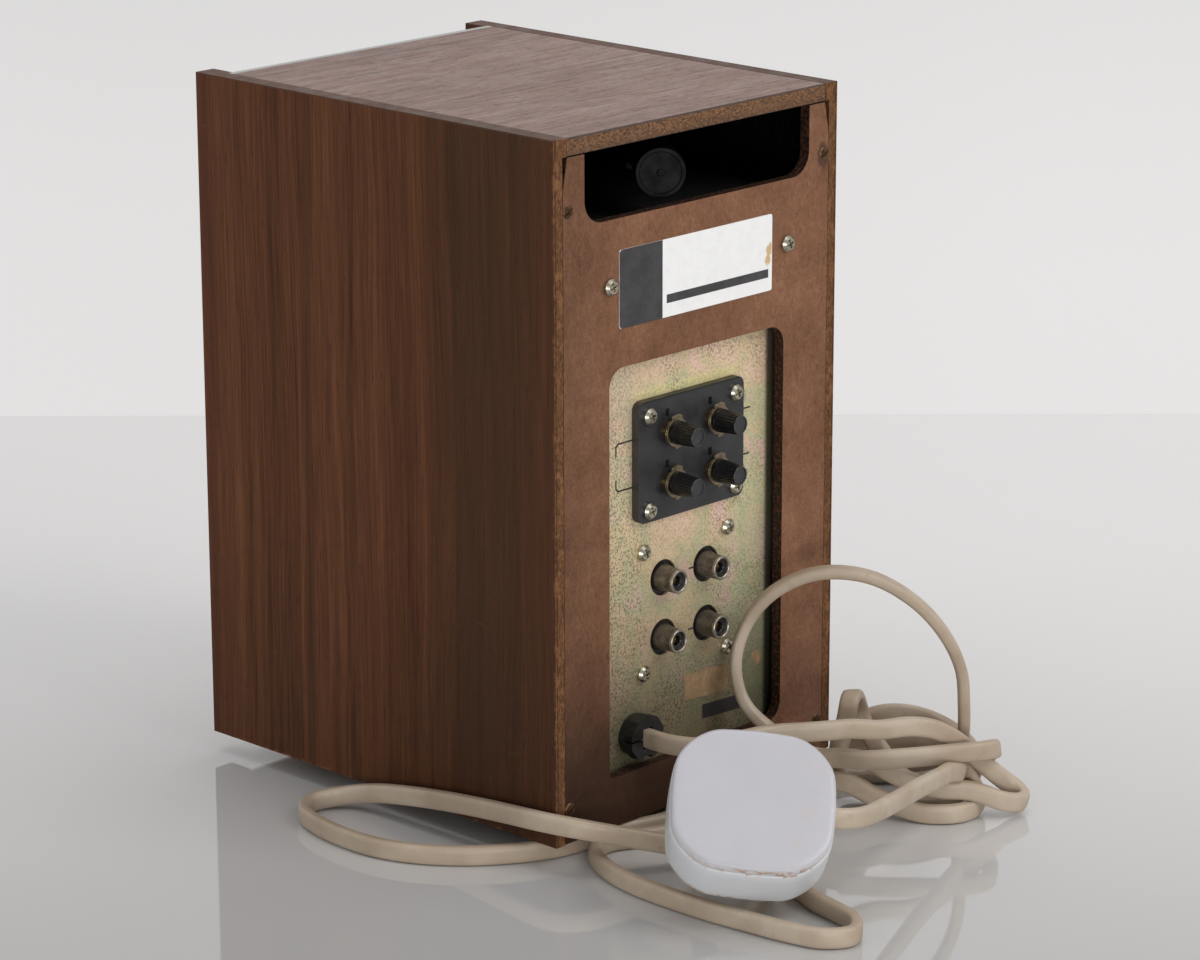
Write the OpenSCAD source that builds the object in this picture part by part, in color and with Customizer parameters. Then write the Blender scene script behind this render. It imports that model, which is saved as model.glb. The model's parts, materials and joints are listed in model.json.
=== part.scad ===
// Upright stereo tuner in a veneered cabinet, with a recessed rear connector
// plate, a swing-out bar antenna, a cord-driven dial and a captive flat mains lead.
// Millimetres, +Z up. Origin: on the floor, under the middle of the cabinet.
// The front faces -Y, the rear +Y. Right and left are as seen from the front.

/* [Cabinet] */
// Outside width of the cabinet
cab_w = 136; // [134:1:142]
// Outside depth of the side panels
cab_d = 169; // [165:1:175]
// Height of the cabinet without its feet
cab_h = 236; // [232:1:240]
// Height of the feet
foot_h = 7; // [7:0.5:10]
// Thickness of the side panels
side_t = 8; // [7.5:0.5:9]
// Thickness of the top and bottom boards
board_t = 6; // [5:0.5:7]
// Thickness of the hardboard back
back_t = 4; // [3:0.5:4.5]
// How far the side panels run in front of the front panel
wing = 9.5; // [8:0.5:11]
// Thickness of the front panel
front_t = 2.5; // [2:0.5:3]

/* [Back] */
// Half width of the vent notch in the top of the back
vent_hw = 54; // [50:1:55]
// Height of the sill of the vent notch
vent_z = 213.5; // [212:0.5:214]
// Half width of the connector opening
port_hw = 42; // [40:1:44]
// Lower edge of the connector opening
port_z0 = 24.5; // [24:0.5:27]
// Upper edge of the connector opening
port_z1 = 164; // [160:1:168]

/* [Connectors] */
// Half spacing of the binding posts across
post_x = 10.4; // [10:0.2:11.4]
// Height of the upper pair of binding posts
post_z1 = 137; // [136:0.5:139]
// Height of the lower pair of binding posts
post_z0 = 119.6; // [117:0.2:120.6]
// Half spacing of the output jacks across
jack_x = 10.5; // [10:0.5:12]
// Height of the upper pair of output jacks
jack_z1 = 85.8; // [84:0.2:87]
// Height of the lower pair of output jacks
jack_z0 = 65; // [64:0.5:67]
// Outside radius of the output jack sleeves
jack_r = 4.1; // [4.05:0.05:4.2]

/* [Tuning drive] */
// Height of the tuning spindle
tune_z = 108; // [106:1:110]
// Height of the drum on the capacitor shaft
drum_z = 150; // [148:1:151]
// Radius of the cord line on the drum
drum_r = 26.7; // [26:0.1:27]
// Radius of the cord line on the spindle
spin_r = 4; // [3.8:0.1:4.2]
// Radius of the cord line on the guide pulleys
pull_r = 5; // [4.8:0.1:5.2]
// Half spacing of the guide pulleys
pull_x = 50; // [48:1:51]
// Height of the guide pulleys
pull_z = 228; // [227:0.5:229]

/* [Bar antenna] */
// Distance from the pivot to the end of the antenna
ant_len = 89; // [84:1:90]
// Radius of the antenna's end cap
ant_cap_r = 8.3; // [7.9:0.1:8.4]

/* [Lead and plug] */
// Width of the flat lead
lead_w = 6.6; // [6.2:0.1:6.6]
// Thickness of the flat lead
lead_t = 4.2; // [3.8:0.1:4.2]
// Width of the plug from its lead side to its earth side
plug_w = 52; // [48:1:52]

/* [Hidden] */
$fn = 48;
eps = 0.01;
hx = cab_w / 2;                 // outer face of a side panel
hy = cab_d / 2;                 // front and rear edge of a side panel
z0 = foot_h;                    // underside of the cabinet
z1 = foot_h + cab_h;            // top of the cabinet
ix = hx - side_t;               // inner face of a side panel
bx = ix + 2;                    // end of the top and bottom boards, in rabbets
rx = hx - 4;                    // edge of the back, in rabbets
ry = hy - back_t;               // inner face of the back
fy = -hy + wing;                // face of the front panel
fb = fy + front_t;              // back of the front panel
plate_y = 78.4;                 // outer face of the connector plate
plate_t = 1.2;                  // sheet thickness of the chassis
floor_z = z0 + board_t;         // top of the bottom board
up_y = -56;                     // front of the chassis upstand
shelf_z = 205;                  // underside of the antenna shelf
tb_y = 81.4;                    // face of the terminal board
tb_hw = 25.7;
tb_z0 = 107.6;
tb_z1 = 149;
cord_front = -64.3;             // plane of the pointer cord
cord_back = -61.3;              // plane of the drive cord
ant_p = [-48, 8];               // antenna pivot
ant_a = 49.8;                   // antenna heading at rest
ant_z = 222.5;                  // height of the antenna's axis
gland_p = [25, 34.5];           // lead gland, x and z
sel_p = [30, 58];               // selector, x and z
pow_p = [-30, 58];              // power switch, x and z
screw_p = [[-42.7, 84.5, 191.7], [42.7, 84.5, 191.7],
           [-21, tb_y, 144], [21, tb_y, 144], [-21, tb_y, 111.8], [21, tb_y, 111.8],
           [-20.6, plate_y, 96.7], [20.6, plate_y, 96.7],
           [-20.6, plate_y, 54.5], [20.6, plate_y, 54.5]];
wood_p = [[-61.6, 219.3], [61.6, 219.3], [-61.6, 19], [61.6, 19]];
foot_p = [[-39, -60], [39, -60], [-39, 60], [39, 60]];
post_p = [[post_x, post_z1], [-post_x, post_z1], [post_x, post_z0], [-post_x, post_z0]];
jack_p = [[jack_x, jack_z1], [-jack_x, jack_z1], [jack_x, jack_z0], [-jack_x, jack_z0]];

// Plug: middle of its back face and its tilt
plug_c = [57, 161, 41];
plug_head = 142;
plug_tilt = 41.5;
plug_roll = -10;

// Hank: middle on the floor, heading, half length between its round ends, radius, height
hank_c = [-61.5, 129.5];
hank_head = 133.7;
hank_run = 20;
hank_r = 26;
hank_h = 38;

// Route of the lead from the gland to the hank
lead_pts = [[25, 85.4, 34.5], [24.5, 95, 34.5], [18, 104, 34], [5, 108, 34], [-7, 111.5, 34],
            [-16, 119, 34.3], [-24, 124.5, 34.3], [-30, 127.5, 34]];
// Standing loop above the hank, then down to its left end
loop_pts = [[-74.5, 139, 36.5], [-74, 138.5, 45], [-69, 136, 58], [-60, 129.5, 71.5],
            [-48.5, 118.5, 81], [-36, 106, 82.5], [-27, 94.5, 75.5], [-21.5, 87, 63.5],
            [-18, 85.5, 50], [-18, 90, 37], [-24, 100, 26.5], [-33, 110, 19.5]];
// Long run: behind the plug, under the rear corner, round the side loop, back under the
// plug, round the front loop and back to the hank
run_pts = [[-30, 121, 22], [-20.5, 108.5, 19.5], [-10.5, 98.5, 15.5], [3, 91.5, 9], [17, 88, 4],
           [31, 83, 3.4], [46, 79.8, 3.4], [60, 77, 3.4], [73.5, 70.5, 3.4], [86, 60.5, 3.4],
           [95.5, 48, 3.4], [101, 33.5, 3.4], [102, 19, 3.4], [100.5, 5.5, 3.4], [96, -7, 3.4],
           [87, -13, 3.5], [77.5, -8, 4.6], [73, 4.5, 7.4], [72.4, 20, 10.2], [72.1, 37, 12.6],
           [72, 54, 14.5], [72.2, 70, 16], [72, 83, 17], [67.5, 93.5, 16.3], [58, 102, 13.5],
           [47, 109, 10], [36, 117, 6.5], [28, 128, 4.2], [25.5, 140, 3.5], [29, 151, 3.4],
           [34, 161, 3.4], [38, 171, 3.4], [40, 181, 3.4], [43.5, 191.5, 3.4], [51.5, 197.5, 3.4],
           [59.5, 192.5, 3.4], [63, 181.5, 3.4], [65.3, 166, 3.4], [67, 150, 3.4], [67.5, 133, 3.4],
           [66.5, 116, 3.4], [62, 100, 3.4], [54, 88.5, 3.4], [44, 86.5, 3.4], [33, 92, 3.4],
           [18, 97, 3.5], [1, 99.5, 4], [-15, 102.5, 5], [-25, 106, 7.5], [-33, 110.5, 10]];
// From the hank to the plug
tail_pts = [[-51, 153, 19.5], [-41, 156.5, 21], [-23.5, 162, 23.4], [-5, 168.5, 25.8], [12, 174.5, 28.3],
            [23.5, 177.8, 30.2], [30.5, 177.2, 31.3], [34.2, 174.5, 31.9]];

// ---------- shapes that repeat ----------

// Rectangle with round corners, made of squares and circles
module rrect(w, h, r) {
    square([w - 2 * r, h], center = true);
    square([w, h - 2 * r], center = true);
    for (sx = [-1, 1], sy = [-1, 1])
        translate([sx * (w / 2 - r), sy * (h / 2 - r)]) circle(r);
}

// Box from its lowest to its highest corner
module box(a, b) { translate(a) cube(b - a); }

// Upright sheet: a flat outline drawn in X and Z, from y0 to y1
module sheet(y0, y1) { translate([0, y1, 0]) rotate([90, 0, 0]) linear_extrude(y1 - y0) children(); }

// Cylinder along Y, from y0 to y1, at x and z
module ycyl(p, y0, y1, r) { translate([p[0], y0, p[1]]) rotate([-90, 0, 0]) cylinder(r = r, h = y1 - y0); }

// Turned shape along Y: profile points are [radius, y]
module yturn(p, pts) { translate([p[0], 0, p[1]]) rotate([-90, 0, 0]) rotate_extrude() polygon(pts); }

// Cross recess in a screw head that faces +Y
module cross_y(p, y, w, t, d) {
    translate([p[0], y - d, p[1]]) for (a = [0, 90]) rotate([0, a + 20, 0])
        translate([-w / 2, 0, -t / 2]) cube([w, d + 1, t]);
}

// Pan-head screw along Y with its head on face y
module pan_screw(p, head_r, head_h, shank_r, len) {
    difference() {
        union() {
            yturn([p[0], p[2]], [[0, p[1]], [head_r, p[1]], [head_r, p[1] + head_h * 0.55],
                                 [head_r * 0.72, p[1] + head_h], [0, p[1] + head_h]]);
            ycyl([p[0], p[2]], p[1] - len, p[1] + eps, shank_r);
        }
        cross_y([p[0], p[2]], p[1] + head_h, head_r * 1.15, 0.9, 1.2);
    }
}

// One ring of the flat lead at point i of a route: w is the direction of the wide side
function unit(v) = v / norm(v);
function along(p, i) = unit(p[min(i + 1, len(p) - 1)] - p[max(i - 1, 0)]);
function flat_ring(p, i, w) =
    let (t = along(p, i), a = unit(w - t * (w * t)), b = cross(t, a))
    [for (k = [0:7]) let (c = k * 45 + 22.5)
        p[i] + a * (lead_w / 2 * cos(c) / cos(22.5)) + b * (lead_t / 2 * sin(c) / cos(22.5))];

// Flat lead swept along a route: wide holds the direction of the wide side at each point
module flat_lead(p, wide) {
    n = len(p);
    polyhedron(
        points = [for (i = [0:n - 1]) each flat_ring(p, i, wide[i])],
        faces = concat([[for (k = [0:7]) k]],
                       [for (i = [0:n - 2], k = [0:7])
                           [i * 8 + k, (i + 1) * 8 + k, (i + 1) * 8 + (k + 1) % 8, i * 8 + (k + 1) % 8]],
                       [[for (k = [7:-1:0]) (n - 1) * 8 + k]]));
}

// Belt-like cord round circles: c is a list of [x, z, r]
module cord_belt(c, y, t) {
    sheet(y - t / 2, y + t / 2) difference() {
        hull() for (q = c) translate([q[0], q[1]]) circle(q[2] + t / 2, $fn = 40);
        hull() for (q = c) translate([q[0], q[1]]) circle(q[2] - t / 2, $fn = 40);
    }
}

// Grooved wheel along Y: bore, groove and flange radii, one groove at each plane
module grooved(p, y0, y1, bore, flange, groove, planes, gw) {
    difference() {
        ycyl(p, y0, y1, flange);
        ycyl(p, y0 - 1, y1 + 1, bore);
        for (y = planes) difference() {
            ycyl(p, y - gw / 2, y + gw / 2, flange + 1);
            ycyl(p, y - gw, y + gw, groove);
        }
    }
}

// Place something in the plug's own frame: +x towards the lead, +z out of its back
module at_plug() {
    translate(plug_c) rotate([0, 0, plug_head]) rotate([plug_tilt, 0, 0]) rotate([0, 0, plug_roll]) children();
}

// Place something along the bar antenna: +x along its axis, pivot at the origin
module at_antenna() { translate([ant_p[0], ant_p[1], ant_z]) rotate([0, 0, ant_a]) children(); }
module xcyl(x0, x1, r) { translate([x0, 0, 0]) rotate([0, 90, 0]) cylinder(r = r, h = x1 - x0); }

// ---------- cabinet ----------

// Side panel at the +X side: rabbets for the back, the boards and the front panel
module side_panel() {
    difference() {
        box([ix, -hy, z0], [hx, hy, z1]);
        box([ix - 1, ry, z0 - 1], [rx, hy + 1, z1 - board_t]);
        box([ix - 1, fb, z1 - board_t], [bx, hy + 1, z1 + 1]);
        box([ix - 1, fb, z0 - 1], [bx, ry + eps, floor_z]);
        box([ix - 1, fy, z0 - 1], [bx, fb + eps, z1 + 1]);
        for (z = [wood_p[0][1], wood_p[2][1]]) ycyl([wood_p[1][0], z], ry - 11, ry + 1, 1.2);
    }
}

module right_side_panel() { color("#4b3023") side_panel(); }
module left_side_panel() { color("#4b3023") mirror([1, 0, 0]) side_panel(); }

module top_board() {
    color("#8a7468") box([-bx + 0.15, fb, z1 - board_t], [bx - 0.15, hy, z1]);
}

module bottom_board() {
    color("#8a6a48") difference() {
        box([-bx + 0.1, fb, z0], [bx - 0.1, ry, floor_z]);
        for (p = foot_p) translate([p[0], p[1], z0 - 1]) cylinder(r = 1.5, h = board_t + 2);
    }
}

// Hardboard back: vent notch at the top, connector opening, ears cut back at the top
module rear_board() {
    top = z1 - board_t;
    color("#6b4837") difference() {
        sheet(ry, hy) difference() {
            polygon([[-rx + 0.2, z0 + 0.3], [rx - 0.2, z0 + 0.3], [rx - 0.2, 226], [rx - 2.2, top - 0.3],
                     [-rx + 2.2, top - 0.3], [-rx + 0.2, 226]]);
            translate([0, vent_z + 20]) rrect(2 * vent_hw, 40, 8);
            translate([0.35, (port_z0 + port_z1) / 2]) rrect(2 * port_hw + 0.7, port_z1 - port_z0, 6.5);
            translate([port_hw - 5.3, port_z0 + 6]) rrect(12, 12, 1.5);
            for (p = [screw_p[0], screw_p[1]]) translate([p[0], p[2]]) circle(1.7);
            for (p = wood_p) translate(p) circle(1.2);
        }
        for (p = wood_p) yturn(p, [[0, hy - 1.1], [1.2, hy - 1.1], [2.3, hy], [2.3, hy + 1], [0, hy + 1]]);
    }
}

// Small raised countersunk wood screws at the corners of the back
module rear_board_screws() {
    color("#5a4a3a") for (p = wood_p) difference() {
        union() {
            yturn(p, [[0, hy - 1.1], [1.2, hy - 1.1], [2.3, hy], [1.9, hy + 0.35], [0, hy + 0.75]]);
            yturn(p, [[0, ry - 10.5], [1.2, ry - 8.5], [1.2, hy - 1.1 + eps], [0, hy - 1.1 + eps]]);
        }
        translate([p[0], hy + 0.1, p[1]]) rotate([0, 35, 0]) translate([-3, 0, -0.3]) cube([6, 2, 0.6]);
    }
}

module feet() {
    color("#1c1c1e") for (p = foot_p) translate([p[0], p[1], 0]) difference() {
        rotate_extrude() polygon([[0, 0], [8, 0], [8.6, 0.6], [9.2, foot_h], [0, foot_h]]);
        translate([0, 0, -1]) cylinder(r = 4.2, h = foot_h - 2);
        cylinder(r = 1.5, h = foot_h + 1);
    }
}

module foot_screws() {
    color("#b8b4a8") for (p = foot_p) translate([p[0], p[1], foot_h - 3]) difference() {
        union() {
            translate([0, 0, -1.8]) cylinder(r = 3.2, h = 1.8);
            cylinder(r = 1.5, h = 10.5);
        }
        for (a = [0, 90]) rotate([0, 0, a]) translate([-2, -0.45, -3]) cube([4, 0.9, 2.2]);
    }
}

// Blank label on the back, between the chassis screws
module rating_label() {
    color("#f0f0ee") sheet(hy, hy + 0.3) translate([1.4, 190]) rrect(73.6, 26, 0.8);
}

// ---------- chassis ----------

module chassis_rear_plate() {
    color("#b4b088") difference() {
        sheet(plate_y - plate_t, plate_y) difference() {
            translate([-52, floor_z]) square([104, shelf_z - floor_z]);
            for (p = post_p) translate(p) circle(4.5);
            for (p = jack_p) translate(p) circle(6.2);
            translate(gland_p) circle(6.3);
            for (p = screw_p) translate([p[0], p[2]]) circle(1.5);
        }
    }
}

// Bent tray: base on the bottom board and a front upstand with the pulley pins
module chassis_tray() {
    color("#a8a690") difference() {
        union() {
            box([-52, up_y, floor_z], [52, plate_y - plate_t, floor_z + plate_t]);
            box([-57, up_y, floor_z], [57, up_y + plate_t, 234]);
            for (s = [-1, 1]) ycyl([s * pull_x, pull_z], -66.6, up_y + eps, 1.5);
        }
        for (p = foot_p) translate([p[0], p[1], floor_z - 1]) cylinder(r = 1.5, h = 4);
        ycyl([0, drum_z], up_y - 1, up_y + 3, 6);
        ycyl([0, tune_z], up_y - 1, up_y + 3, 3.05);
    }
}

module machine_screws() {
    color("#c8be96") for (p = screw_p) pan_screw(p, 2.8, 2.1, 1.5, 12);
}

// ---------- bar antenna in the top bay ----------

module antenna_shelf() {
    color("#141414") difference() {
        box([-57, up_y + plate_t, shelf_z], [57, plate_y, shelf_z + 1.5]);
        translate([ant_p[0], ant_p[1], shelf_z - 1]) cylinder(r = 2, h = 5);
    }
}

module antenna_pivot() {
    color("#8c8c88") translate([ant_p[0], ant_p[1], 0]) {
        translate([0, 0, shelf_z - 1.5]) cylinder(r = 3.4, h = 1.5);
        translate([0, 0, shelf_z - eps]) cylinder(r = 2, h = 1.5 + 2 * eps);
        translate([0, 0, shelf_z + 1.5]) cylinder(r = 7, h = 2);
        translate([0, 0, shelf_z + 3.5 - eps]) cylinder(r = 3, h = 230.8 - shelf_z - 3.5);
    }
}

// Turning holder: a boss on the pivot pin and a spigot inside the tube
module antenna_arm() {
    color("#202022") difference() {
        union() {
            translate([ant_p[0], ant_p[1], shelf_z + 3.9]) cylinder(r = 7.2, h = 229.6 - shelf_z - 3.9);
            at_antenna() xcyl(4, 30, 5.6);
        }
        translate([ant_p[0], ant_p[1], shelf_z]) cylinder(r = 3.05, h = 40);
    }
}

module antenna_tube() {
    color("#18181a") at_antenna() difference() {
        xcyl(9.2, ant_len - 1.4, 7.4);
        xcyl(8, ant_len, 5.6);
        translate([0, 0, -20]) cylinder(r = 7.2, h = 40);
    }
}

module antenna_cap() {
    color("#0e0e10") at_antenna() difference() {
        xcyl(ant_len - 8, ant_len, ant_cap_r);
        xcyl(ant_len - 9, ant_len - 1.4, 7.4);
        translate([ant_len, 0, 0]) rotate([0, 90, 0]) translate([0, 0, -0.35]) difference() {
            cylinder(r = 6.9, h = 1);
            translate([0, 0, -1]) cylinder(r = 1.2, h = 3);
        }
    }
}

module ferrite_rod() { color("#2c2c30") at_antenna() xcyl(30, ant_len - 1.4, 4.8); }

// ---------- antenna terminals ----------

module terminal_board() {
    color("#3c3c40") difference() {
        sheet(plate_y, tb_y) difference() {
            translate([0, (tb_z0 + tb_z1) / 2]) rrect(2 * tb_hw, tb_z1 - tb_z0, 3);
            for (p = post_p) translate(p) circle(1.6);
            for (i = [2:5]) translate([screw_p[i][0], screw_p[i][2]]) circle(1.5);
            for (p = post_p) translate([p[0] + 1.4, p[1] + 6.4]) square([1.8, 2.6], center = true);
        }
    }
}

// Threaded studs with a fixed collar outside and a nut inside
module terminal_studs() {
    color("#b09a64") for (p = post_p) {
        ycyl(p, 70, 90, 1.6);
        ycyl(p, tb_y, 83.2, 3.4);
        translate([p[0], plate_y - 2.4, p[1]]) rotate([-90, 0, 0]) cylinder(r = 3.2, h = 2.4, $fn = 6);
    }
}

// Two loose washers with a bent tab under each cap
module washers(p) {
    color("#96825f") for (y = [83.5, 84.1]) difference() {
        union() {
            ycyl(p, y, y + 0.5, 4.95);
            box([p[0] - 1.4, y, p[1]], [p[0] + 1.4, y + 0.5, p[1] + 6.1]);
        }
        ycyl(p, y - 1, y + 1, 1.65);
    }
}
module post_1_washers() { washers(post_p[0]); }
module post_2_washers() { washers(post_p[1]); }
module post_3_washers() { washers(post_p[2]); }
module post_4_washers() { washers(post_p[3]); }

// Screw cap: tapered, with a plain foot, a rim round its flat tip and a blind bore
module cap(p) {
    color("#141416") difference() {
        yturn(p, [[0, 84.9], [4, 84.9], [4, 85.6], [3.95, 86], [3.25, 93.9], [0, 93.9]]);
        ycyl(p, 84, 91.2, 1.65);
        ycyl(p, 93.6, 95, 2.65);
    }
}
module post_1_cap() { cap(post_p[0]); }
module post_2_cap() { cap(post_p[1]); }
module post_3_cap() { cap(post_p[2]); }
module post_4_cap() { cap(post_p[3]); }

// ---------- output jacks ----------

module jack_board() {
    color("#2a2420") sheet(plate_y - plate_t - 2, plate_y - plate_t) difference() {
        translate([0, 75.6]) rrect(54, 52, 2);
        for (p = jack_p) translate(p) circle(jack_r);
        for (i = [6:9]) translate([screw_p[i][0], screw_p[i][2]]) circle(1.5);
    }
}

// Nickelled sleeves: a flange on the board, a flared root and a straight sleeve
module phono_jack_shells() {
    y = plate_y - plate_t;
    color("#8c8478") for (p = jack_p) difference() {
        yturn(p, [[3.1, 70], [jack_r, 70], [jack_r, y], [4.9, y], [4.9, y + 0.9], [4.7, y + 1.4],
                  [jack_r, y + 4], [jack_r, 85.6], [3.8, 86], [3.1, 86]]);
    }
}

module phono_jack_inserts() {
    color("#101010") for (p = jack_p) difference() {
        ycyl(p, 71, 84.8, 3.1);
        ycyl(p, 73, 86, 1.6);
    }
}

// ---------- lead gland ----------

// Two-part strain relief: faceted head with a flat slot for the lead, neck through the plate
module cord_gland() {
    color("#101012") translate([gland_p[0], 0, gland_p[1]]) rotate([-90, 0, 0]) difference() {
        union() {
            translate([0, 0, plate_y]) cylinder(r = 7.2, h = 3);
            translate([0, 0, plate_y + 3 - eps]) rotate([0, 0, 18]) cylinder(r = 8, h = 3.7, $fn = 10);
            translate([0, 0, 72]) cylinder(r = 6.2, h = plate_y - 72 + eps);
        }
        translate([-lead_t / 2 - 0.2, -lead_w / 2 - 0.2, 70]) cube([lead_t + 0.4, lead_w + 0.4, 20]);
        translate([-9, -0.35, 81.5]) cube([18, 0.7, 8]);
        translate([-2, 6.2, 80.7]) cube([4, 4, 8]);
    }
}

// ---------- front ----------

module front_panel() {
    color("#c4c4c0") difference() {
        sheet(fy, fb) difference() {
            translate([-bx + 0.1, z0 + 0.3]) square([2 * bx - 0.2, cab_h - 0.3]);
            translate([0, 205]) rrect(104, 42, 3);
            translate([0, tune_z]) circle(3.6);
            translate(sel_p) circle(3.6);
            translate(pow_p) rrect(5.6, 13, 1.5);
            translate([44, 165]) circle(2);
        }
    }
}

module dial_lens() { color("#d8e0e0") sheet(fb, fb + 2) translate([0, 205]) rrect(112, 48, 2); }

module dial_scale() {
    color("#181a1c") sheet(-67.6, -66.8) difference() {
        translate([0, 203.5]) rrect(112, 51, 2);
        for (s = [-1, 1]) translate([s * 48, 181]) circle(2);
    }
}

// Two dial lamps in the scale plate and one indicator in the front panel
module lamps() {
    color("#e8d8b0") {
        for (s = [-1, 1]) yturn([s * 48, 181], [[0, -70], [1.2, -69.8], [2, -68.8], [2, up_y], [0, up_y]]);
        yturn([44, 165], [[0, -75.8], [1.2, -75.6], [2, -74.6], [2, -62], [0, -62]]);
    }
}

// Tuning knob: turned aluminium with a finger dimple in its face
module tuning_knob() {
    color("#b8b8b4") difference() {
        yturn([0, tune_z], [[0, -93.9], [23, -93.9], [25.5, -92.4], [26, -90.5], [26.4, -77], [25.8, -76], [0, -76]]);
        ycyl([0, tune_z], -89, -75, 3);
        difference() {
            ycyl([0, tune_z], -80, -75, 23.5);
            ycyl([0, tune_z], -81, -75, 7);
        }
        translate([0, -96.6, tune_z + 14.5]) sphere(r = 5);
    }
}

// Spindle: shaft, drive groove for the cord, rear journal in the chassis upstand
module tuning_spindle() {
    color("#b0aca0") difference() {
        union() {
            ycyl([0, tune_z], -89, -52, 3);
            ycyl([0, tune_z], -71, -57, 5.2);
        }
        difference() {
            ycyl([0, tune_z], cord_back - 1.2, cord_back + 1.2, 7);
            ycyl([0, tune_z], cord_back - 3, cord_back + 3, spin_r - 0.7);
        }
    }
}

module dial_drum() {
    color("#d8d2c0") difference() {
        union() {
            grooved([0, drum_z], -66.2, -59.4, 3, drum_r + 1.2, drum_r - 0.7, [cord_front, cord_back], 2);
            ycyl([0, drum_z], -59.5, -57, 7);
        }
        ycyl([0, drum_z], -70, -50, 3);
        for (a = [45:90:315]) translate([0, -70, drum_z]) rotate([0, a, 0]) translate([15.5, 0, 0])
            rotate([-90, 0, 0]) cylinder(r = 5.5, h = 20);
    }
}

// Rotor: shaft and half-disc vanes that turn between the fixed vanes
module capacitor_rotor() {
    color("#a8a49a") {
        ycyl([0, drum_z], -66.2, -13, 3);
        for (k = [0:4]) intersection() {
            ycyl([0, drum_z], -46 + 6 * k, -45 + 6 * k, 16);
            box([-30, -60, drum_z - 2], [30, 0, drum_z + 30]);
        }
    }
}

module capacitor_frame() {
    color("#9a968c") difference() {
        union() {
            box([-21, up_y + plate_t, drum_z - 21], [21, up_y + plate_t + 1.5, drum_z + 21]);
            box([-21, -17.5, drum_z - 21], [21, -16, drum_z + 21]);
            for (s = [-1, 1]) box([s * 20 - 1, up_y + plate_t, drum_z - 21], [s * 20 + 1, -16, drum_z - 17.5]);
            for (k = [0:5]) box([-20, -49 + 6 * k, drum_z - 20], [20, -48 + 6 * k, drum_z - 3]);
        }
        ycyl([0, drum_z], -50.5, -17.8, 5);
        ycyl([0, drum_z], up_y - 1, -10, 3.05);
    }
}

// Pointer: thin blade in front of the scale, hung over its top edge from the cord
module dial_pointer() {
    color("#c84020") {
        box([-0.5, -69.2, 186], [0.5, -68.4, 231]);
        box([-1.6, -69.2, 230.5], [1.6, -62.8, 231.5]);
        difference() {
            box([-1.6, cord_front - 0.9, 231.5 - eps], [1.6, cord_front + 1.5, 234.6]);
            box([-3, cord_front - 0.65, 232.35], [3, cord_front + 0.65, 233.65]);
        }
    }
}

module pulley(x) {
    color("#dcd8cc") grooved([x, pull_z], -66.2, -62.2, 1.55, pull_r + 0.9, pull_r - 0.7, [cord_front], 1.8);
}
module pulley_left() { pulley(-pull_x); }
module pulley_right() { pulley(pull_x); }

// Pointer cord round the drum and pulleys, and drive cord round the drum and spindle
module dial_cord() {
    color("#d8c8a0") {
        cord_belt([[0, drum_z, drum_r], [-pull_x, pull_z, pull_r], [pull_x, pull_z, pull_r]], cord_front, 0.7);
        cord_belt([[0, drum_z, drum_r], [0, tune_z, spin_r]], cord_back, 0.7);
    }
}

module selector_knob() {
    color("#b8b8b4") difference() {
        union() {
            yturn(sel_p, [[0, -88.5], [11.6, -88.5], [13, -87.4], [13.6, -77], [13.2, -76], [0, -76]]);
            ycyl(sel_p, -77, -60, 3);
        }
        box([sel_p[0] - 0.6, -90, sel_p[1] + 5], [sel_p[0] + 0.6, -88, sel_p[1] + 12]);
    }
}

module selector_switch() {
    color("#6a6660") difference() {
        union() {
            ycyl(sel_p, fb, -64, 12);
            ycyl(sel_p, -64.01, -58, 14);
        }
        ycyl(sel_p, fb - 1, -59.5, 3.05);
    }
}

// Bat lever on a cross pin, at rest in its lower position
module power_lever() {
    color("#c8c8c4") translate([pow_p[0], -70, pow_p[1]]) rotate([12, 0, 0]) {
        translate([-2.4, 0, 0]) rotate([0, 90, 0]) cylinder(r = 2.4, h = 4.8);
        rotate([90, 0, 0]) rotate_extrude() polygon([[0, 0], [1.7, 0], [1.7, 6], [2.5, 16], [1.9, 17.4], [0, 17.8]]);
    }
}

module power_switch() {
    color("#3a3836") difference() {
        box([pow_p[0] - 9, fb, pow_p[1] - 13], [pow_p[0] + 9, -56.5, pow_p[1] + 13]);
        box([pow_p[0] - 3, fb - 1, pow_p[1] - 7.5], [pow_p[0] + 3, -66.5, pow_p[1] + 7.5]);
    }
}

// ---------- electronics ----------

module main_board() {
    color("#8a6a38") box([44, up_y + plate_t, floor_z + plate_t], [45.6, 62, 170]);
}

module if_cans() {
    color("#b8b8b8") for (y = [-36, -12, 12, 36], z = [70, 110]) box([31, y - 4, z - 4], [44, y + 4, z + 4]);
}

module transformer() {
    z = floor_z + plate_t;
    color("#5c4a3a") {
        difference() {
            box([-46, -30, z], [-6, 0, z + 34]);
            for (x = [-40, -19.5]) box([x, -31, z + 6], [x + 7.5, 1, z + 28]);
        }
        for (x = [-40, -19.5]) box([x + 0.3, -34, z + 6.3], [x + 7.2, 4, z + 27.7]);
    }
}

// ---------- lead and plug ----------

up = [0, 0, 1];
side = [0.723, 0.691, 0];

module cord_lead() { color("#a89b8a") flat_lead(lead_pts, [for (p = lead_pts) up]); }
module cord_loop() {
    n = len(loop_pts);
    color("#a89b8a") flat_lead(loop_pts, [for (i = [0:n - 1]) side]);
}
module cord_run() { color("#a89b8a") flat_lead(run_pts, [for (p = run_pts) up]); }
module cord_tail() { color("#a89b8a") flat_lead(tail_pts, [for (p = tail_pts) up]); }

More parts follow.
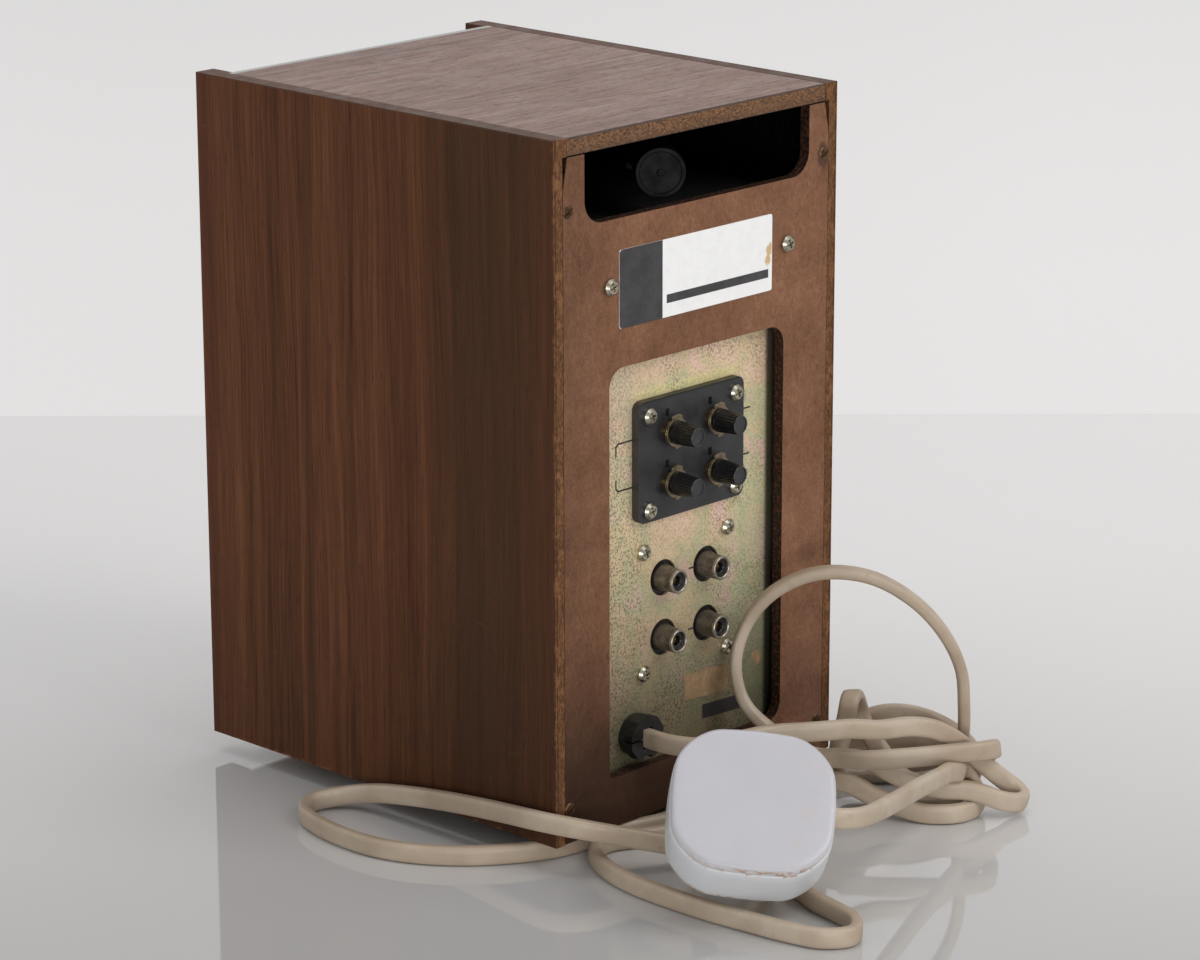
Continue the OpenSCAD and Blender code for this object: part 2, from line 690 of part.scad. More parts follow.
module cord_hank() {
    color("#a89b8a") translate([hank_c[0], hank_c[1], 0.2]) rotate([0, 0, hank_head]) linear_extrude(hank_h - 0.2) {
        square([hank_run, 2 * hank_r], center = true);
        for (s = [-1, 1]) translate([s * hank_run / 2, 0]) circle(hank_r);
    }
}

module plug_base() {
    color("#d8d6da") at_plug() difference() {
        translate([0, 0, -22]) linear_extrude(18) rrect(plug_w, 50.5, 14);
        translate([0, 0, -16]) linear_extrude(13) rrect(plug_w - 6, 44.5, 11);
    }
}

module plug_cover() {
    color("#e0dee2") at_plug() translate([0, 0, -4]) linear_extrude(4) rrect(plug_w, 50.5, 14);
}

// Flat pins: the long earth pin away from the lead, the two current pins beside it
module plug_pins() {
    color("#b89a50") at_plug() {
        translate([-12 - 4, -2, -44.7]) cube([8, 4, 22.7]);
        for (s = [-1, 1]) translate([10.2 - 2, s * 11.1 - 3.2, -39.7]) cube([4, 6.4, 17.7]);
    }
}

right_side_panel();
left_side_panel();
top_board();
bottom_board();
rear_board();
rear_board_screws();
feet();
foot_screws();
rating_label();
chassis_rear_plate();
chassis_tray();
machine_screws();
antenna_shelf();
antenna_pivot();
antenna_arm();
antenna_tube();
antenna_cap();
ferrite_rod();
terminal_board();
terminal_studs();
post_1_washers();
post_2_washers();
post_3_washers();
post_4_washers();
post_1_cap();
post_2_cap();
post_3_cap();
post_4_cap();
jack_board();
phono_jack_shells();
phono_jack_inserts();
cord_gland();
front_panel();
dial_lens();
dial_scale();
lamps();
tuning_knob();
tuning_spindle();
dial_drum();
capacitor_rotor();
capacitor_frame();
dial_pointer();
pulley_left();
pulley_right();
dial_cord();
selector_knob();
selector_switch();
power_lever();
power_switch();
main_board();
if_cans();
transformer();
cord_lead();
cord_loop();
cord_run();
cord_tail();
cord_hank();
plug_base();
plug_cover();
plug_pins();
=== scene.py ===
import json
import math

import bmesh
import bpy
from mathutils import Matrix, Vector

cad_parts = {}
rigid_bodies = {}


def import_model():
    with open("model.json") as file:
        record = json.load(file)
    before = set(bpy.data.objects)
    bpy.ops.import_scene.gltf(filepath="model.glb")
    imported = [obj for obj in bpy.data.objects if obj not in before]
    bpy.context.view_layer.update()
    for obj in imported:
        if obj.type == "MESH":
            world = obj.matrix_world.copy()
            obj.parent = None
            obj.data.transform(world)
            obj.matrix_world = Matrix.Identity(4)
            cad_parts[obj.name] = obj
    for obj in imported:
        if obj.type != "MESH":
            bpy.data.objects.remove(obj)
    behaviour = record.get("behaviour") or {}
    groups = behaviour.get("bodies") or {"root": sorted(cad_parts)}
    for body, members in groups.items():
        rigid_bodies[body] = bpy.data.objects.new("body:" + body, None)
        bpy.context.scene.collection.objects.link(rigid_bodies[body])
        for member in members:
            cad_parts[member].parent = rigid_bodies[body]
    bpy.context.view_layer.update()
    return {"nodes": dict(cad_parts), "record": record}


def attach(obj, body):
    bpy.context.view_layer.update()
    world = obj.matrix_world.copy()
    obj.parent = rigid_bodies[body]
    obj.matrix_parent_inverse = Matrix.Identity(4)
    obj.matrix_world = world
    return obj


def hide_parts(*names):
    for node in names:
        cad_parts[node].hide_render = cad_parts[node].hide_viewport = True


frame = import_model()
nodes = frame["nodes"]
body_of = {n: b for b, ns in frame["record"]["behaviour"]["bodies"].items() for n in ns}
scene = bpy.context.scene
for o in [o for o in bpy.data.objects if o.name in ("Cube", "Light", "Camera")]:
    bpy.data.objects.remove(o)
scene.view_settings.view_transform = "Standard"
scene.view_settings.look = "None"
MM = 0.001

# ---------- camera ----------


def photo_camera():
    a, e, r = math.radians(133.7336), math.radians(16.1568), math.radians(-0.1145)
    back = Vector((math.sin(a) * math.cos(e), -math.cos(a) * math.cos(e), math.sin(e)))
    right = (-back).cross(Vector((0, 0, 1))).normalized()
    up = right.cross(-back)
    cx = math.cos(r) * right + math.sin(r) * up
    cy = -math.sin(r) * right + math.cos(r) * up
    m = Matrix((cx, cy, back)).transposed().to_4x4()
    m.translation = (1.015514, 1.010949, 0.516676)
    data = bpy.data.cameras.new("camera")
    data.sensor_fit = "HORIZONTAL"
    data.sensor_width = 36
    data.lens = 129.58
    data.clip_start, data.clip_end = 0.05, 30
    cam = bpy.data.objects.new("camera", data)
    scene.collection.objects.link(cam)
    cam.matrix_world = m
    scene.camera = cam
    return right, back


VIEW_RIGHT, VIEW_BACK = photo_camera()
HEAD = Vector((VIEW_BACK.x, VIEW_BACK.y, 0)).normalized()

# ---------- material helpers ----------


def lin(c):
    """sRGB 0 to 255 as linear values"""
    return tuple(v / 255 / 12.92 if v <= 10.3 else ((v / 255 + 0.055) / 1.055) ** 2.4 for v in c)


class Mat:
    def __init__(self, name, color=(128, 128, 128), rough=0.5, metal=0.0, **sockets):
        self.m = bpy.data.materials.new(name)
        self.m.use_nodes = True
        self.t = self.m.node_tree
        self.t.nodes.clear()
        out = self.node("ShaderNodeOutputMaterial")
        self.b = self.node("ShaderNodeBsdfPrincipled")
        self.t.links.new(self.b.outputs[0], out.inputs[0])
        self.b.inputs["Base Color"].default_value = (*lin(color), 1)
        self.b.inputs["Roughness"].default_value = rough
        self.b.inputs["Metallic"].default_value = metal
        for k, v in sockets.items():
            self.b.inputs[k.replace("_", " ")].default_value = v
        self.p = self.node("ShaderNodeTexCoord").outputs["Object"]
        self.x, self.y, self.z = self.split(self.p)

    def node(self, kind):
        return self.t.nodes.new(kind)

    def put(self, socket, v):
        if isinstance(v, bpy.types.NodeSocket):
            self.t.links.new(v, socket)
        elif isinstance(v, tuple):
            socket.default_value = (*lin(v), 1)
        else:
            socket.default_value = v

    def split(self, v):
        n = self.node("ShaderNodeSeparateXYZ")
        self.put(n.inputs[0], v)
        return n.outputs[0], n.outputs[1], n.outputs[2]

    def join(self, x, y, z):
        n = self.node("ShaderNodeCombineXYZ")
        for s, v in zip(n.inputs, (x, y, z)):
            self.put(s, v)
        return n.outputs[0]

    def stretch(self, kx, ky, kz, v=None):
        n = self.node("ShaderNodeVectorMath")
        n.operation = "MULTIPLY"
        self.put(n.inputs[0], self.p if v is None else v)
        n.inputs[1].default_value = (kx, ky, kz)
        return n.outputs[0]

    def op(self, kind, a, b=0.0, clamp=False):
        n = self.node("ShaderNodeMath")
        n.operation = kind
        n.use_clamp = clamp
        self.put(n.inputs[0], a)
        self.put(n.inputs[1], b)
        return n.outputs[0]

    def span(self, v, lo, hi, a=0.0, b=1.0):
        n = self.node("ShaderNodeMapRange")
        n.interpolation_type = "SMOOTHSTEP"
        for s, w in zip(n.inputs, (v, lo, hi, a, b)):
            self.put(s, w)
        return n.outputs[0]

    def near(self, v, mid, half, soft):
        """1 within half of mid, falling to 0 over soft"""
        d = self.op("ABSOLUTE", self.op("SUBTRACT", v, mid))
        return self.span(d, half, half + soft, 1.0, 0.0)

    def noise(self, v, scale, detail=3, rough=0.55, warp=0.0):
        n = self.node("ShaderNodeTexNoise")
        self.put(n.inputs["Vector"], self.p if v is None else v)
        n.inputs["Scale"].default_value = scale
        n.inputs["Detail"].default_value = detail
        n.inputs["Roughness"].default_value = rough
        n.inputs["Distortion"].default_value = warp
        return n.outputs[0]

    def cells(self, v, scale, out=0, feature="F1"):
        n = self.node("ShaderNodeTexVoronoi")
        n.feature = feature
        self.put(n.inputs["Vector"], self.p if v is None else v)
        n.inputs["Scale"].default_value = scale
        return n.outputs[out]

    def ramp(self, f, *stops):
        n = self.node("ShaderNodeValToRGB")
        e = n.color_ramp.elements
        while len(e) < len(stops):
            e.new(0.5)
        for s, (pos, c) in zip(e, stops):
            s.position = pos
            s.color = (*lin(c), 1) if isinstance(c, tuple) else (c, c, c, 1)
        self.put(n.inputs[0], f)
        return n.outputs[0]

    def mix(self, f, a, b, how="MIX"):
        n = self.node("ShaderNodeMix")
        n.data_type = "RGBA"
        n.blend_type = how
        self.put(n.inputs[0], f)
        self.put(n.inputs[6], a)
        self.put(n.inputs[7], b)
        return n.outputs[2]

    def scale_color(self, c, f):
        """colour times a number socket"""
        n = self.node("ShaderNodeVectorMath")
        n.operation = "SCALE"
        self.put(n.inputs[0], c)
        self.put(n.inputs["Scale"], f)
        return n.outputs[0]

    def bump(self, h, dist, strength=1.0, normal=None):
        n = self.node("ShaderNodeBump")
        n.inputs["Strength"].default_value = strength
        n.inputs["Distance"].default_value = dist
        self.put(n.inputs["Height"], h)
        if normal is not None:
            self.put(n.inputs["Normal"], normal)
        return n.outputs[0]

    def normal_axis(self, axis):
        n = self.node("ShaderNodeNewGeometry")
        return self.op("ABSOLUTE", self.split(n.outputs["Normal"])[axis])

    def use(self, color=None, rough=None, metal=None, normal=None):
        for name, v in (("Base Color", color), ("Roughness", rough), ("Metallic", metal), ("Normal", normal)):
            if v is not None:
                self.put(self.b.inputs[name], v)
        return self.m


# ---------- materials ----------


def grain(m, across, along, other):
    """Walnut figure: tone 0 to 1 and pores 0 to 1, from coordinates across and along the grain"""
    v0 = m.join(across, m.op("MULTIPLY", along, 0.25), other)
    drift = m.op("SUBTRACT", m.noise(v0, 9, 2), 0.5)
    wob = m.op("SUBTRACT", m.noise(m.join(across, m.op("MULTIPLY", along, 0.16), other), 70, 2), 0.5)
    s = m.op("ADD", across, m.op("ADD", m.op("MULTIPLY", drift, 0.016), m.op("MULTIPLY", wob, 0.0035)))
    broad = m.noise(m.join(s, m.op("MULTIPLY", along, 0.04), other), 48, 3, 0.5)
    lines = m.noise(m.join(s, m.op("MULTIPLY", along, 0.014), other), 300, 4, 0.6)
    hair = m.noise(m.join(s, m.op("MULTIPLY", along, 0.02), other), 1250, 3, 0.6)
    tone = m.op("ADD", m.op("MULTIPLY", broad, 0.18), m.op("ADD", m.op("MULTIPLY", lines, 0.4), m.op("MULTIPLY", hair, 0.42)))
    fleck = m.noise(m.join(s, m.op("MULTIPLY", along, 0.085), other), 1900, 2, 0.5)
    pores = m.span(fleck, 0.585, 0.69)
    return tone, pores


def walnut_side():
    m = Mat("walnut_side", rough=0.42, Specular_IOR_Level=0.09)
    tone, pores = grain(m, m.y, m.z, m.x)
    c = m.ramp(tone, (0.36, (62, 36, 22)), (0.46, (82, 50, 31)), (0.53, (92, 57, 36)), (0.62, (106, 67, 43)))
    # darker, greyer heart streak towards the rear and a redder strip along the front edge
    wander = m.op("ADD", m.y, m.op("MULTIPLY", m.op("SUBTRACT", m.noise(m.stretch(1, 1, 0.35), 22, 2), 0.5), 0.02))
    streak = m.op("MULTIPLY", m.near(wander, 0.053, 0.007, 0.022), m.span(m.noise(m.stretch(1, 2, 0.3), 30, 3), 0.3, 0.7, 0.35, 0.8))
    c = m.mix(m.span(wander, 0.01, 0.046, 0.0, 0.45), c, (68, 45, 31))
    c = m.mix(m.op("MULTIPLY", streak, 0.55), c, (57, 42, 29))
    joint = m.op("ADD", m.y, m.op("MULTIPLY", m.z, -0.02))
    c = m.mix(m.op("MULTIPLY", m.near(joint, -0.034, 0.0006, 0.002), 0.4), c, (62, 39, 25))
    red = m.op("MULTIPLY", m.span(m.y, -0.066, -0.083), m.span(m.noise(m.stretch(1, 3, 0.3), 40, 3), 0.3, 0.65, 0.25, 0.9))
    c = m.mix(m.op("MULTIPLY", red, 0.6), c, (78, 43, 32))
    c = m.mix(m.op("MULTIPLY", pores, 0.4), c, (50, 30, 20))
    # light rubs and short scratches
    rub = m.span(m.noise(m.stretch(1, 0.35, 1), 130, 4, 0.75, 1.5), 0.665, 0.72)
    c = m.mix(m.op("MULTIPLY", rub, 0.16), c, (140, 100, 72))
    # painted shade: the sides grow darker towards the bottom; they are also made lighter towards the front edge
    c = m.scale_color(c, m.span(m.z, 0.005, 0.11, 0.74, 1.0))
    c = m.scale_color(c, m.span(m.y, -0.08, 0.06, 1.27, 1.07))
    # painted sheen: the top edge of each side is turned grey-brown like the top
    c = m.mix(m.op("MULTIPLY", m.span(m.z, 0.2423, 0.2428), 0.75), c, (92, 70, 60))
    # raw rear edge: core board between two veneers
    raw = m.span(m.y, 0.08415, 0.08435)
    chip = m.noise(m.stretch(1, 1, 0.4), 1500, 4, 0.7)
    rc = m.ramp(chip, (0.34, (74, 49, 33)), (0.5, (102, 70, 47)), (0.66, (126, 90, 61)))
    seam = m.near(m.op("ABSOLUTE", m.x), 0.0673, 0.00018, 0.0002)
    rc = m.mix(m.op("MULTIPLY", seam, 0.7), rc, (58, 37, 25))
    c = m.mix(raw, c, rc)
    # worn arris along the rear and bottom edges
    edge = m.op("MAXIMUM", m.span(m.y, 0.0832, 0.0843), m.span(m.z, 0.0082, 0.0072))
    worn = m.op("MULTIPLY", edge, m.span(m.noise(m.stretch(1, 1, 0.6), 420, 4, 0.7), 0.5, 0.62))
    c = m.mix(m.op("MULTIPLY", worn, 0.45), c, (150, 106, 72))
    # inside faces of the cabinet are made near black
    inner = m.op("MULTIPLY", m.span(m.op("ABSOLUTE", m.x), 0.0605, 0.0601), m.span(m.y, -0.0755, -0.0745))
    c = m.mix(inner, c, (9, 8, 8))
    rough = m.span(m.noise(m.stretch(1, 1, 0.2), 160, 3), 0.3, 0.7, 0.36, 0.5)
    rough = m.op("ADD", rough, m.op("MULTIPLY", raw, 0.35), True)
    h = m.op("SUBTRACT", m.op("MULTIPLY", tone, 0.35), m.op("MULTIPLY", pores, 0.8))
    h = m.op("ADD", h, m.op("MULTIPLY", m.op("MULTIPLY", raw, chip), 2.5))
    return m.use(c, rough, normal=m.bump(h, 0.00012, 0.7))


def walnut_top():
    m = Mat("walnut_top", rough=0.4)
    tone, pores = grain(m, m.y, m.x, m.z)
    c = m.ramp(tone, (0.36, (101, 74, 65)), (0.46, (126, 96, 86)), (0.54, (140, 109, 98)), (0.64, (161, 129, 117)))
    ripple = m.noise(m.stretch(0.22, 1, 1), 420, 3, 0.6, 0.6)
    c = m.mix(m.op("MULTIPLY", m.span(ripple, 0.55, 0.7), 0.5), c, (66, 46, 38))
    c = m.mix(m.op("MULTIPLY", pores, 0.45), c, (44, 30, 25))
    dash = m.span(m.noise(m.stretch(0.22, 1, 1), 1900, 2, 0.5), 0.57, 0.66)
    c = m.mix(m.op("MULTIPLY", dash, 0.6), c, (56, 40, 34))
    # dark veneer arris, then the raw chipboard of the rear edge
    arris = m.op("MULTIPLY", m.span(m.y, 0.0836, 0.0842), m.span(m.z, 0.2418, 0.2424))
    c = m.mix(m.op("MULTIPLY", arris, 0.8), c, (52, 37, 30))
    raw = m.op("MULTIPLY", m.span(m.y, 0.0841, 0.08435), m.span(m.z, 0.24255, 0.2423))
    cell = m.cells(m.stretch(0.7, 1, 1), 2300, 1)
    cv = m.split(cell)[0]
    rc = m.ramp(cv, (0.0, (82, 55, 36)), (0.3, (102, 70, 46)), (0.62, (118, 83, 54)), (1.0, (140, 102, 68)))
    pit = m.span(m.noise(m.stretch(0.7, 1, 1), 1900, 4, 0.7), 0.57, 0.64)
    rc = m.mix(m.op("MULTIPLY", pit, 0.75), rc, (44, 28, 19))
    grime = m.span(m.z, 0.2405, 0.2373)
    rc = m.mix(m.op("MULTIPLY", grime, 0.35), rc, (70, 46, 32))
    c = m.mix(raw, c, rc)
    under = m.span(m.z, 0.2374, 0.23705)
    c = m.mix(under, c, (10, 9, 8))
    rough = m.span(m.noise(m.stretch(0.3, 1, 1), 200, 3), 0.3, 0.7, 0.36, 0.5)
    rough = m.op("ADD", rough, m.op("MULTIPLY", raw, 0.4), True)
    h = m.op("SUBTRACT", m.op("MULTIPLY", tone, 0.5), m.op("ADD", m.op("MULTIPLY", pores, 0.9), m.op("MULTIPLY", m.span(ripple, 0.5, 0.75), 0.5)))
    h = m.op("ADD", h, m.op("MULTIPLY", raw, m.op("SUBTRACT", m.op("MULTIPLY", cv, 2.2), m.op("MULTIPLY", pit, 5.0))))
    return m.use(c, rough, normal=m.bump(h, 0.00013, 0.75))


def hardboard():
    m = Mat("hardboard", rough=0.62, Specular_IOR_Level=0.22)
    cloud = m.noise(None, 55, 3)
    fine = m.noise(None, 1500, 3, 0.65)
    weave = m.noise(m.stretch(1, 1, 0.6), 520, 3, 0.6, 1.2)
    tone = m.op("ADD", m.op("MULTIPLY", cloud, 0.35), m.op("ADD", m.op("MULTIPLY", fine, 0.3), m.op("MULTIPLY", weave, 0.35)))
    c = m.ramp(tone, (0.34, (100, 66, 46)), (0.47, (126, 87, 63)), (0.55, (139, 98, 73)), (0.66, (156, 114, 88)))
    # thin pale fibres lying every way
    fib = m.near(m.noise(None, 240, 1, 0.5, 3.2), 0.5, 0.002, 0.007)
    fib = m.op("MULTIPLY", fib, m.span(m.noise(None, 90, 2), 0.5, 0.66))
    c = m.mix(m.op("MULTIPLY", fib, 0.5), c, (172, 130, 96))
    dark = m.span(m.noise(None, 700, 2, 0.5), 0.66, 0.74)
    c = m.mix(m.op("MULTIPLY", dark, 0.4), c, (60, 38, 28))
    # scar by one corner screw
    dx = m.op("SUBTRACT", m.x, -0.0612)
    dz = m.op("MULTIPLY", m.op("SUBTRACT", m.z, 0.2185), 0.55)
    r = m.op("SQRT", m.op("ADD", m.op("MULTIPLY", dx, dx), m.op("MULTIPLY", dz, dz)))
    r = m.op("ADD", r, m.op("MULTIPLY", m.op("SUBTRACT", m.noise(None, 500, 3), 0.5), 0.003))
    c = m.mix(m.op("MULTIPLY", m.span(r, 0.0036, 0.0018), 0.65), c, (48, 36, 34))
    c = m.scale_color(c, 0.86)
    # painted shade: darker and browner towards the bottom on the left half
    low = m.op("MULTIPLY", m.span(m.z, 0.085, 0.012, 0.0, 0.75), m.span(m.x, -0.036, 0.0))
    c = m.scale_color(c, m.op("SUBTRACT", 1.0, low))
    c = m.mix(m.op("MULTIPLY", low, 0.4), c, (50, 26, 9))
    # painted shade: darker towards the left edge
    c = m.scale_color(c, m.span(m.x, 0.064, 0.03, 0.76, 1.0))
    # sawn edges are dark, with a rough pale burr
    edge = m.span(m.normal_axis(1), 0.75, 0.4)
    burr = m.span(m.noise(None, 900, 3, 0.7), 0.45, 0.68)
    c = m.mix(edge, c, m.mix(burr, (36, 22, 15), (92, 56, 36)))
    rough = m.span(tone, 0.35, 0.65, 0.55, 0.72)
    h = m.op("ADD", tone, m.op("MULTIPLY", fib, 0.4))
    h = m.op("ADD", h, m.op("MULTIPLY", edge, m.op("MULTIPLY", burr, 3.0)))
    return m.use(c, rough, normal=m.bump(h, 0.0001, 0.7))


def chipboard():
    m = Mat("chipboard", rough=0.8)
    cv = m.split(m.cells(m.stretch(1, 0.6, 1), 420, 1))[0]
    c = m.ramp(cv, (0.0, (86, 58, 38)), (0.35, (124, 88, 57)), (0.7, (152, 112, 74)), (1.0, (178, 138, 96)))
    n = m.noise(None, 900, 4, 0.7)
    c = m.mix(m.span(n, 0.58, 0.68, 0.0, 0.6), c, (58, 38, 26))
    return m.use(c, normal=m.bump(m.op("ADD", cv, n), 0.00015, 0.6))


def zinc(name, dark_top=False):
    m = Mat(name, rough=0.42, metal=0.4)
    big = m.noise(m.stretch(1, 1, 0.8), 26, 3, 0.55, 0.8)
    mid = m.noise(None, 85, 4, 0.6, 0.5)
    hue = m.op("ADD", m.op("MULTIPLY", big, 0.62), m.op("MULTIPLY", mid, 0.38))
    c = m.ramp(hue, (0.38, (228, 192, 178)), (0.45, (218, 192, 162)), (0.5, (210, 190, 152)), (0.55, (192, 188, 150)), (0.62, (220, 184, 170)))
    low = m.span(m.z, 0.075, 0.03)
    c = m.mix(m.op("MULTIPLY", low, 0.4), c, (150, 146, 108))
    green = m.op("MULTIPLY", m.span(m.x, -0.01, -0.034), m.span(m.z, 0.125, 0.09))
    c = m.mix(m.op("MULTIPLY", green, 0.35), c, (164, 184, 146))
    # painted glow: a pale yellow band of reflected light on the plate just above the terminal board
    halo = m.op("MULTIPLY", m.near(m.z, 0.1505, 0.0008, 0.0018), m.span(m.op("ABSOLUTE", m.x), 0.027, 0.022))
    c = m.mix(m.op("MULTIPLY", halo, 0.45), c, (222, 214, 146))
    # dark crystalline speckle, dense in clouds
    spk = m.noise(None, 1150, 4, 0.75)
    where = m.span(m.noise(None, 34, 3, 0.6, 0.6), 0.4, 0.62, 0.35, 1.0)
    left = m.span(m.x, 0.012, 0.036, 0.15, 1.0)
    dens = m.op("MAXIMUM", where, left)
    s = m.op("MULTIPLY", m.span(spk, 0.49, 0.58), dens)
    c = m.mix(m.op("MULTIPLY", s, 0.72), c, (86, 72, 54))
    vein = m.near(m.noise(None, 150, 2, 0.5, 2.5), 0.5, 0.004, 0.02)
    c = m.mix(m.op("MULTIPLY", vein, 0.22), c, (112, 104, 80))
    blot = m.span(m.noise(None, 60, 4, 0.65, 1.0), 0.62, 0.72)
    c = m.mix(m.op("MULTIPLY", blot, 0.45), c, (118, 106, 92))
    rough = m.op("ADD", m.span(mid, 0.3, 0.7, 0.34, 0.5), m.op("MULTIPLY", s, 0.15))
    # painted shade and painted reflection: the plate darkens towards the bottom and brightens towards the top
    c = m.scale_color(c, m.span(m.z, 0.03, 0.12, 0.51, 1.3))
    c = m.mix(m.op("MULTIPLY", m.op("MULTIPLY", m.span(m.x, 0.014, 0.034), m.span(m.z, 0.11, 0.15)), 0.3), c, (236, 196, 186))
    # painted shadow cast by the right edge of the opening in the rear board
    c = m.scale_color(c, m.span(m.x, -0.0412, -0.0389, 0.12, 1.0))
    if dark_top:
        t = m.span(m.z, 0.2045, 0.2055)
        c = m.mix(t, c, (8, 8, 8))
    return m.use(c, rough, normal=m.bump(m.op("SUBTRACT", mid, m.op("MULTIPLY", s, 0.5)), 0.00005, 0.5))


def plastic(name, color, rough=0.42, dust=0.25, dust_color=(120, 112, 104), grain_scale=1600, bump=0.00003, top=None, **kw):
    m = Mat(name, rough=rough, **kw)
    n = m.noise(None, grain_scale, 3, 0.6)
    cloud = m.noise(None, 160, 3, 0.6)
    lo = tuple(v * 0.82 for v in color)
    hi = tuple(min(255, v * 1.18 + 2) for v in color)
    c = m.ramp(m.op("ADD", m.op("MULTIPLY", n, 0.4), m.op("MULTIPLY", cloud, 0.6)), (0.35, lo), (0.65, hi))
    d = m.op("MULTIPLY", m.span(m.noise(None, 420, 4, 0.75), 0.56, 0.7), dust)
    c = m.mix(d, c, dust_color)
    # painted shade: with top given, the top edge is darkened to near black
    if top is not None:
        c = m.mix(m.span(m.z, top - 0.0008, top - 0.0003), c, (10, 10, 10))
    r = m.span(cloud, 0.3, 0.7, max(0.05, rough - 0.07), rough + 0.08)
    return m.use(c, r, normal=m.bump(n, bump, 0.5))


def metal(name, color, rough=0.3, tarnish=(96, 84, 64), amount=0.35, scale=260, stretch=None, metallic=1.0):
    m = Mat(name, rough=rough, metal=metallic)
    v = m.p if stretch is None else m.stretch(*stretch)
    n = m.noise(v, scale, 4, 0.65)
    f = m.noise(v, scale * 6, 3, 0.6)
    c = m.ramp(f, (0.35, tuple(x * 0.86 for x in color)), (0.65, tuple(min(255, x * 1.08) for x in color)))
    c = m.mix(m.op("MULTIPLY", m.span(n, 0.48, 0.66), amount), c, tarnish)
    r = m.span(n, 0.3, 0.7, max(0.05, rough - 0.08), rough + 0.14)
    return m.use(c, r, normal=m.bump(f, 0.00002, 0.5))


def brushed(name, color, axis, rough=0.32):
    """Aluminium brushed along one axis"""
    m = Mat(name, rough=rough, metal=1.0)
    k = [1.0, 1.0, 1.0]
    k[axis] = 0.012
    n = m.noise(m.stretch(*k), 2600, 4, 0.7)
    cloud = m.noise(None, 45, 3)
    c = m.ramp(n, (0.3, tuple(v * 0.86 for v in color)), (0.7, tuple(min(255, v * 1.06) for v in color)))
    r = m.op("ADD", m.span(n, 0.3, 0.7, rough - 0.08, rough + 0.1), m.op("MULTIPLY", m.op("SUBTRACT", cloud, 0.5), 0.1))
    return m.use(c, r, normal=m.bump(n, 0.00003, 0.6))


def turned(name, color, cx, cz, rough=0.3):
    """Aluminium turned about an axis along Y: fine rings on its face"""
    m = Mat(name, rough=rough, metal=1.0)
    dx = m.op("SUBTRACT", m.x, cx)
    dz = m.op("SUBTRACT", m.z, cz)
    r = m.op("SQRT", m.op("ADD", m.op("MULTIPLY", dx, dx), m.op("MULTIPLY", dz, dz)))
    rings = m.noise(m.join(r, m.op("MULTIPLY", m.y, 0.6), 0.0), 2600, 3, 0.7)
    c = m.ramp(rings, (0.3, tuple(v * 0.88 for v in color)), (0.7, tuple(min(255, v * 1.05) for v in color)))
    rr = m.span(rings, 0.3, 0.7, rough - 0.07, rough + 0.1)
    return m.use(c, rr, normal=m.bump(rings, 0.00003, 0.7))


def lead_pvc():
    m = Mat("lead_pvc", rough=0.4, Specular_IOR_Level=0.45)
    cloud = m.noise(None, 40, 3)
    c = m.ramp(cloud, (0.35, (166, 148, 128)), (0.5, (176, 159, 139)), (0.65, (187, 172, 153)))
    grime = m.span(m.noise(None, 120, 4, 0.7, 0.8), 0.58, 0.72)
    c = m.mix(m.op("MULTIPLY", grime, 0.35), c, (144, 125, 102))
    spot = m.span(m.noise(None, 460, 4, 0.75), 0.66, 0.74)
    c = m.mix(m.op("MULTIPLY", spot, m.span(m.noise(None, 26, 2), 0.52, 0.66, 0.0, 0.75)), c, (128, 92, 56))
    fine = m.noise(None, 900, 3)
    r = m.span(m.noise(None, 150, 3), 0.3, 0.7, 0.33, 0.5)
    return m.use(c, r, normal=m.bump(m.op("ADD", fine, m.op("MULTIPLY", m.noise(None, 110, 2), 3)), 0.00004, 0.5))


def plug_white():
    m = Mat("plug_white", rough=0.24, Specular_IOR_Level=0.5)
    cloud = m.noise(None, 60, 3)
    c = m.ramp(cloud, (0.35, (182, 181, 187)), (0.65, (185, 184, 190)))
    # side walls of lid and base are painted whiter than the face as painted light; brown grime along the lower edges of
    # lid and base, and a few faint warm patches on the face
    z = m.z
    c = m.mix(m.span(z, -0.0003, -0.0013), c, (212, 209, 210))
    c = m.mix(m.span(z, -0.0037, -0.0040), c, (215, 217, 220))
    blots = m.noise(m.stretch(1, 1, 1.4), 330, 4, 0.7)
    lid = m.op("MULTIPLY", m.near(z, -0.0027, 0.0014, 0.0006), m.span(m.y, -0.0195, -0.0215))
    lid = m.op("MULTIPLY", lid, m.span(m.x, -0.012, 0.0, 0.4, 1.0))
    foot = m.op("MULTIPLY", m.near(z, -0.0209, 0.0009, 0.0009), m.span(m.y, -0.013, -0.018))
    foot = m.op("MULTIPLY", foot, m.span(m.x, 0.006, -0.004, 0.3, 1.0))
    stain = m.op("MULTIPLY", m.op("MAXIMUM", lid, foot), m.span(blots, 0.52, 0.57))
    c = m.mix(m.op("MULTIPLY", stain, 0.75), c, (172, 124, 76))
    rest = m.op("MULTIPLY", m.near(z, -0.0037, 0.0002, 0.0007), m.span(m.noise(None, 210, 4, 0.7), 0.54, 0.62))
    c = m.mix(m.op("MULTIPLY", rest, 0.12), c, (176, 148, 116))
    face = m.span(z, -0.0010, -0.0004)
    smear = m.op("MULTIPLY", m.span(m.noise(None, 170, 4, 0.7, 0.6), 0.53, 0.66), m.span(m.x, 0.004, 0.020))
    c = m.mix(m.op("MULTIPLY", m.op("MULTIPLY", smear, face), 0.25), c, (196, 172, 146))
    scuff = m.span(m.noise(m.stretch(1, 1, 1), 480, 4, 0.8), 0.66, 0.75)
    c = m.mix(m.op("MULTIPLY", scuff, 0.03), c, (176, 166, 156))
    r = m.span(m.noise(None, 190, 4, 0.65), 0.3, 0.7, 0.3, 0.335)
    return m.use(c, r, normal=m.bump(m.noise(None, 300, 3), 0.00001, 0.1))


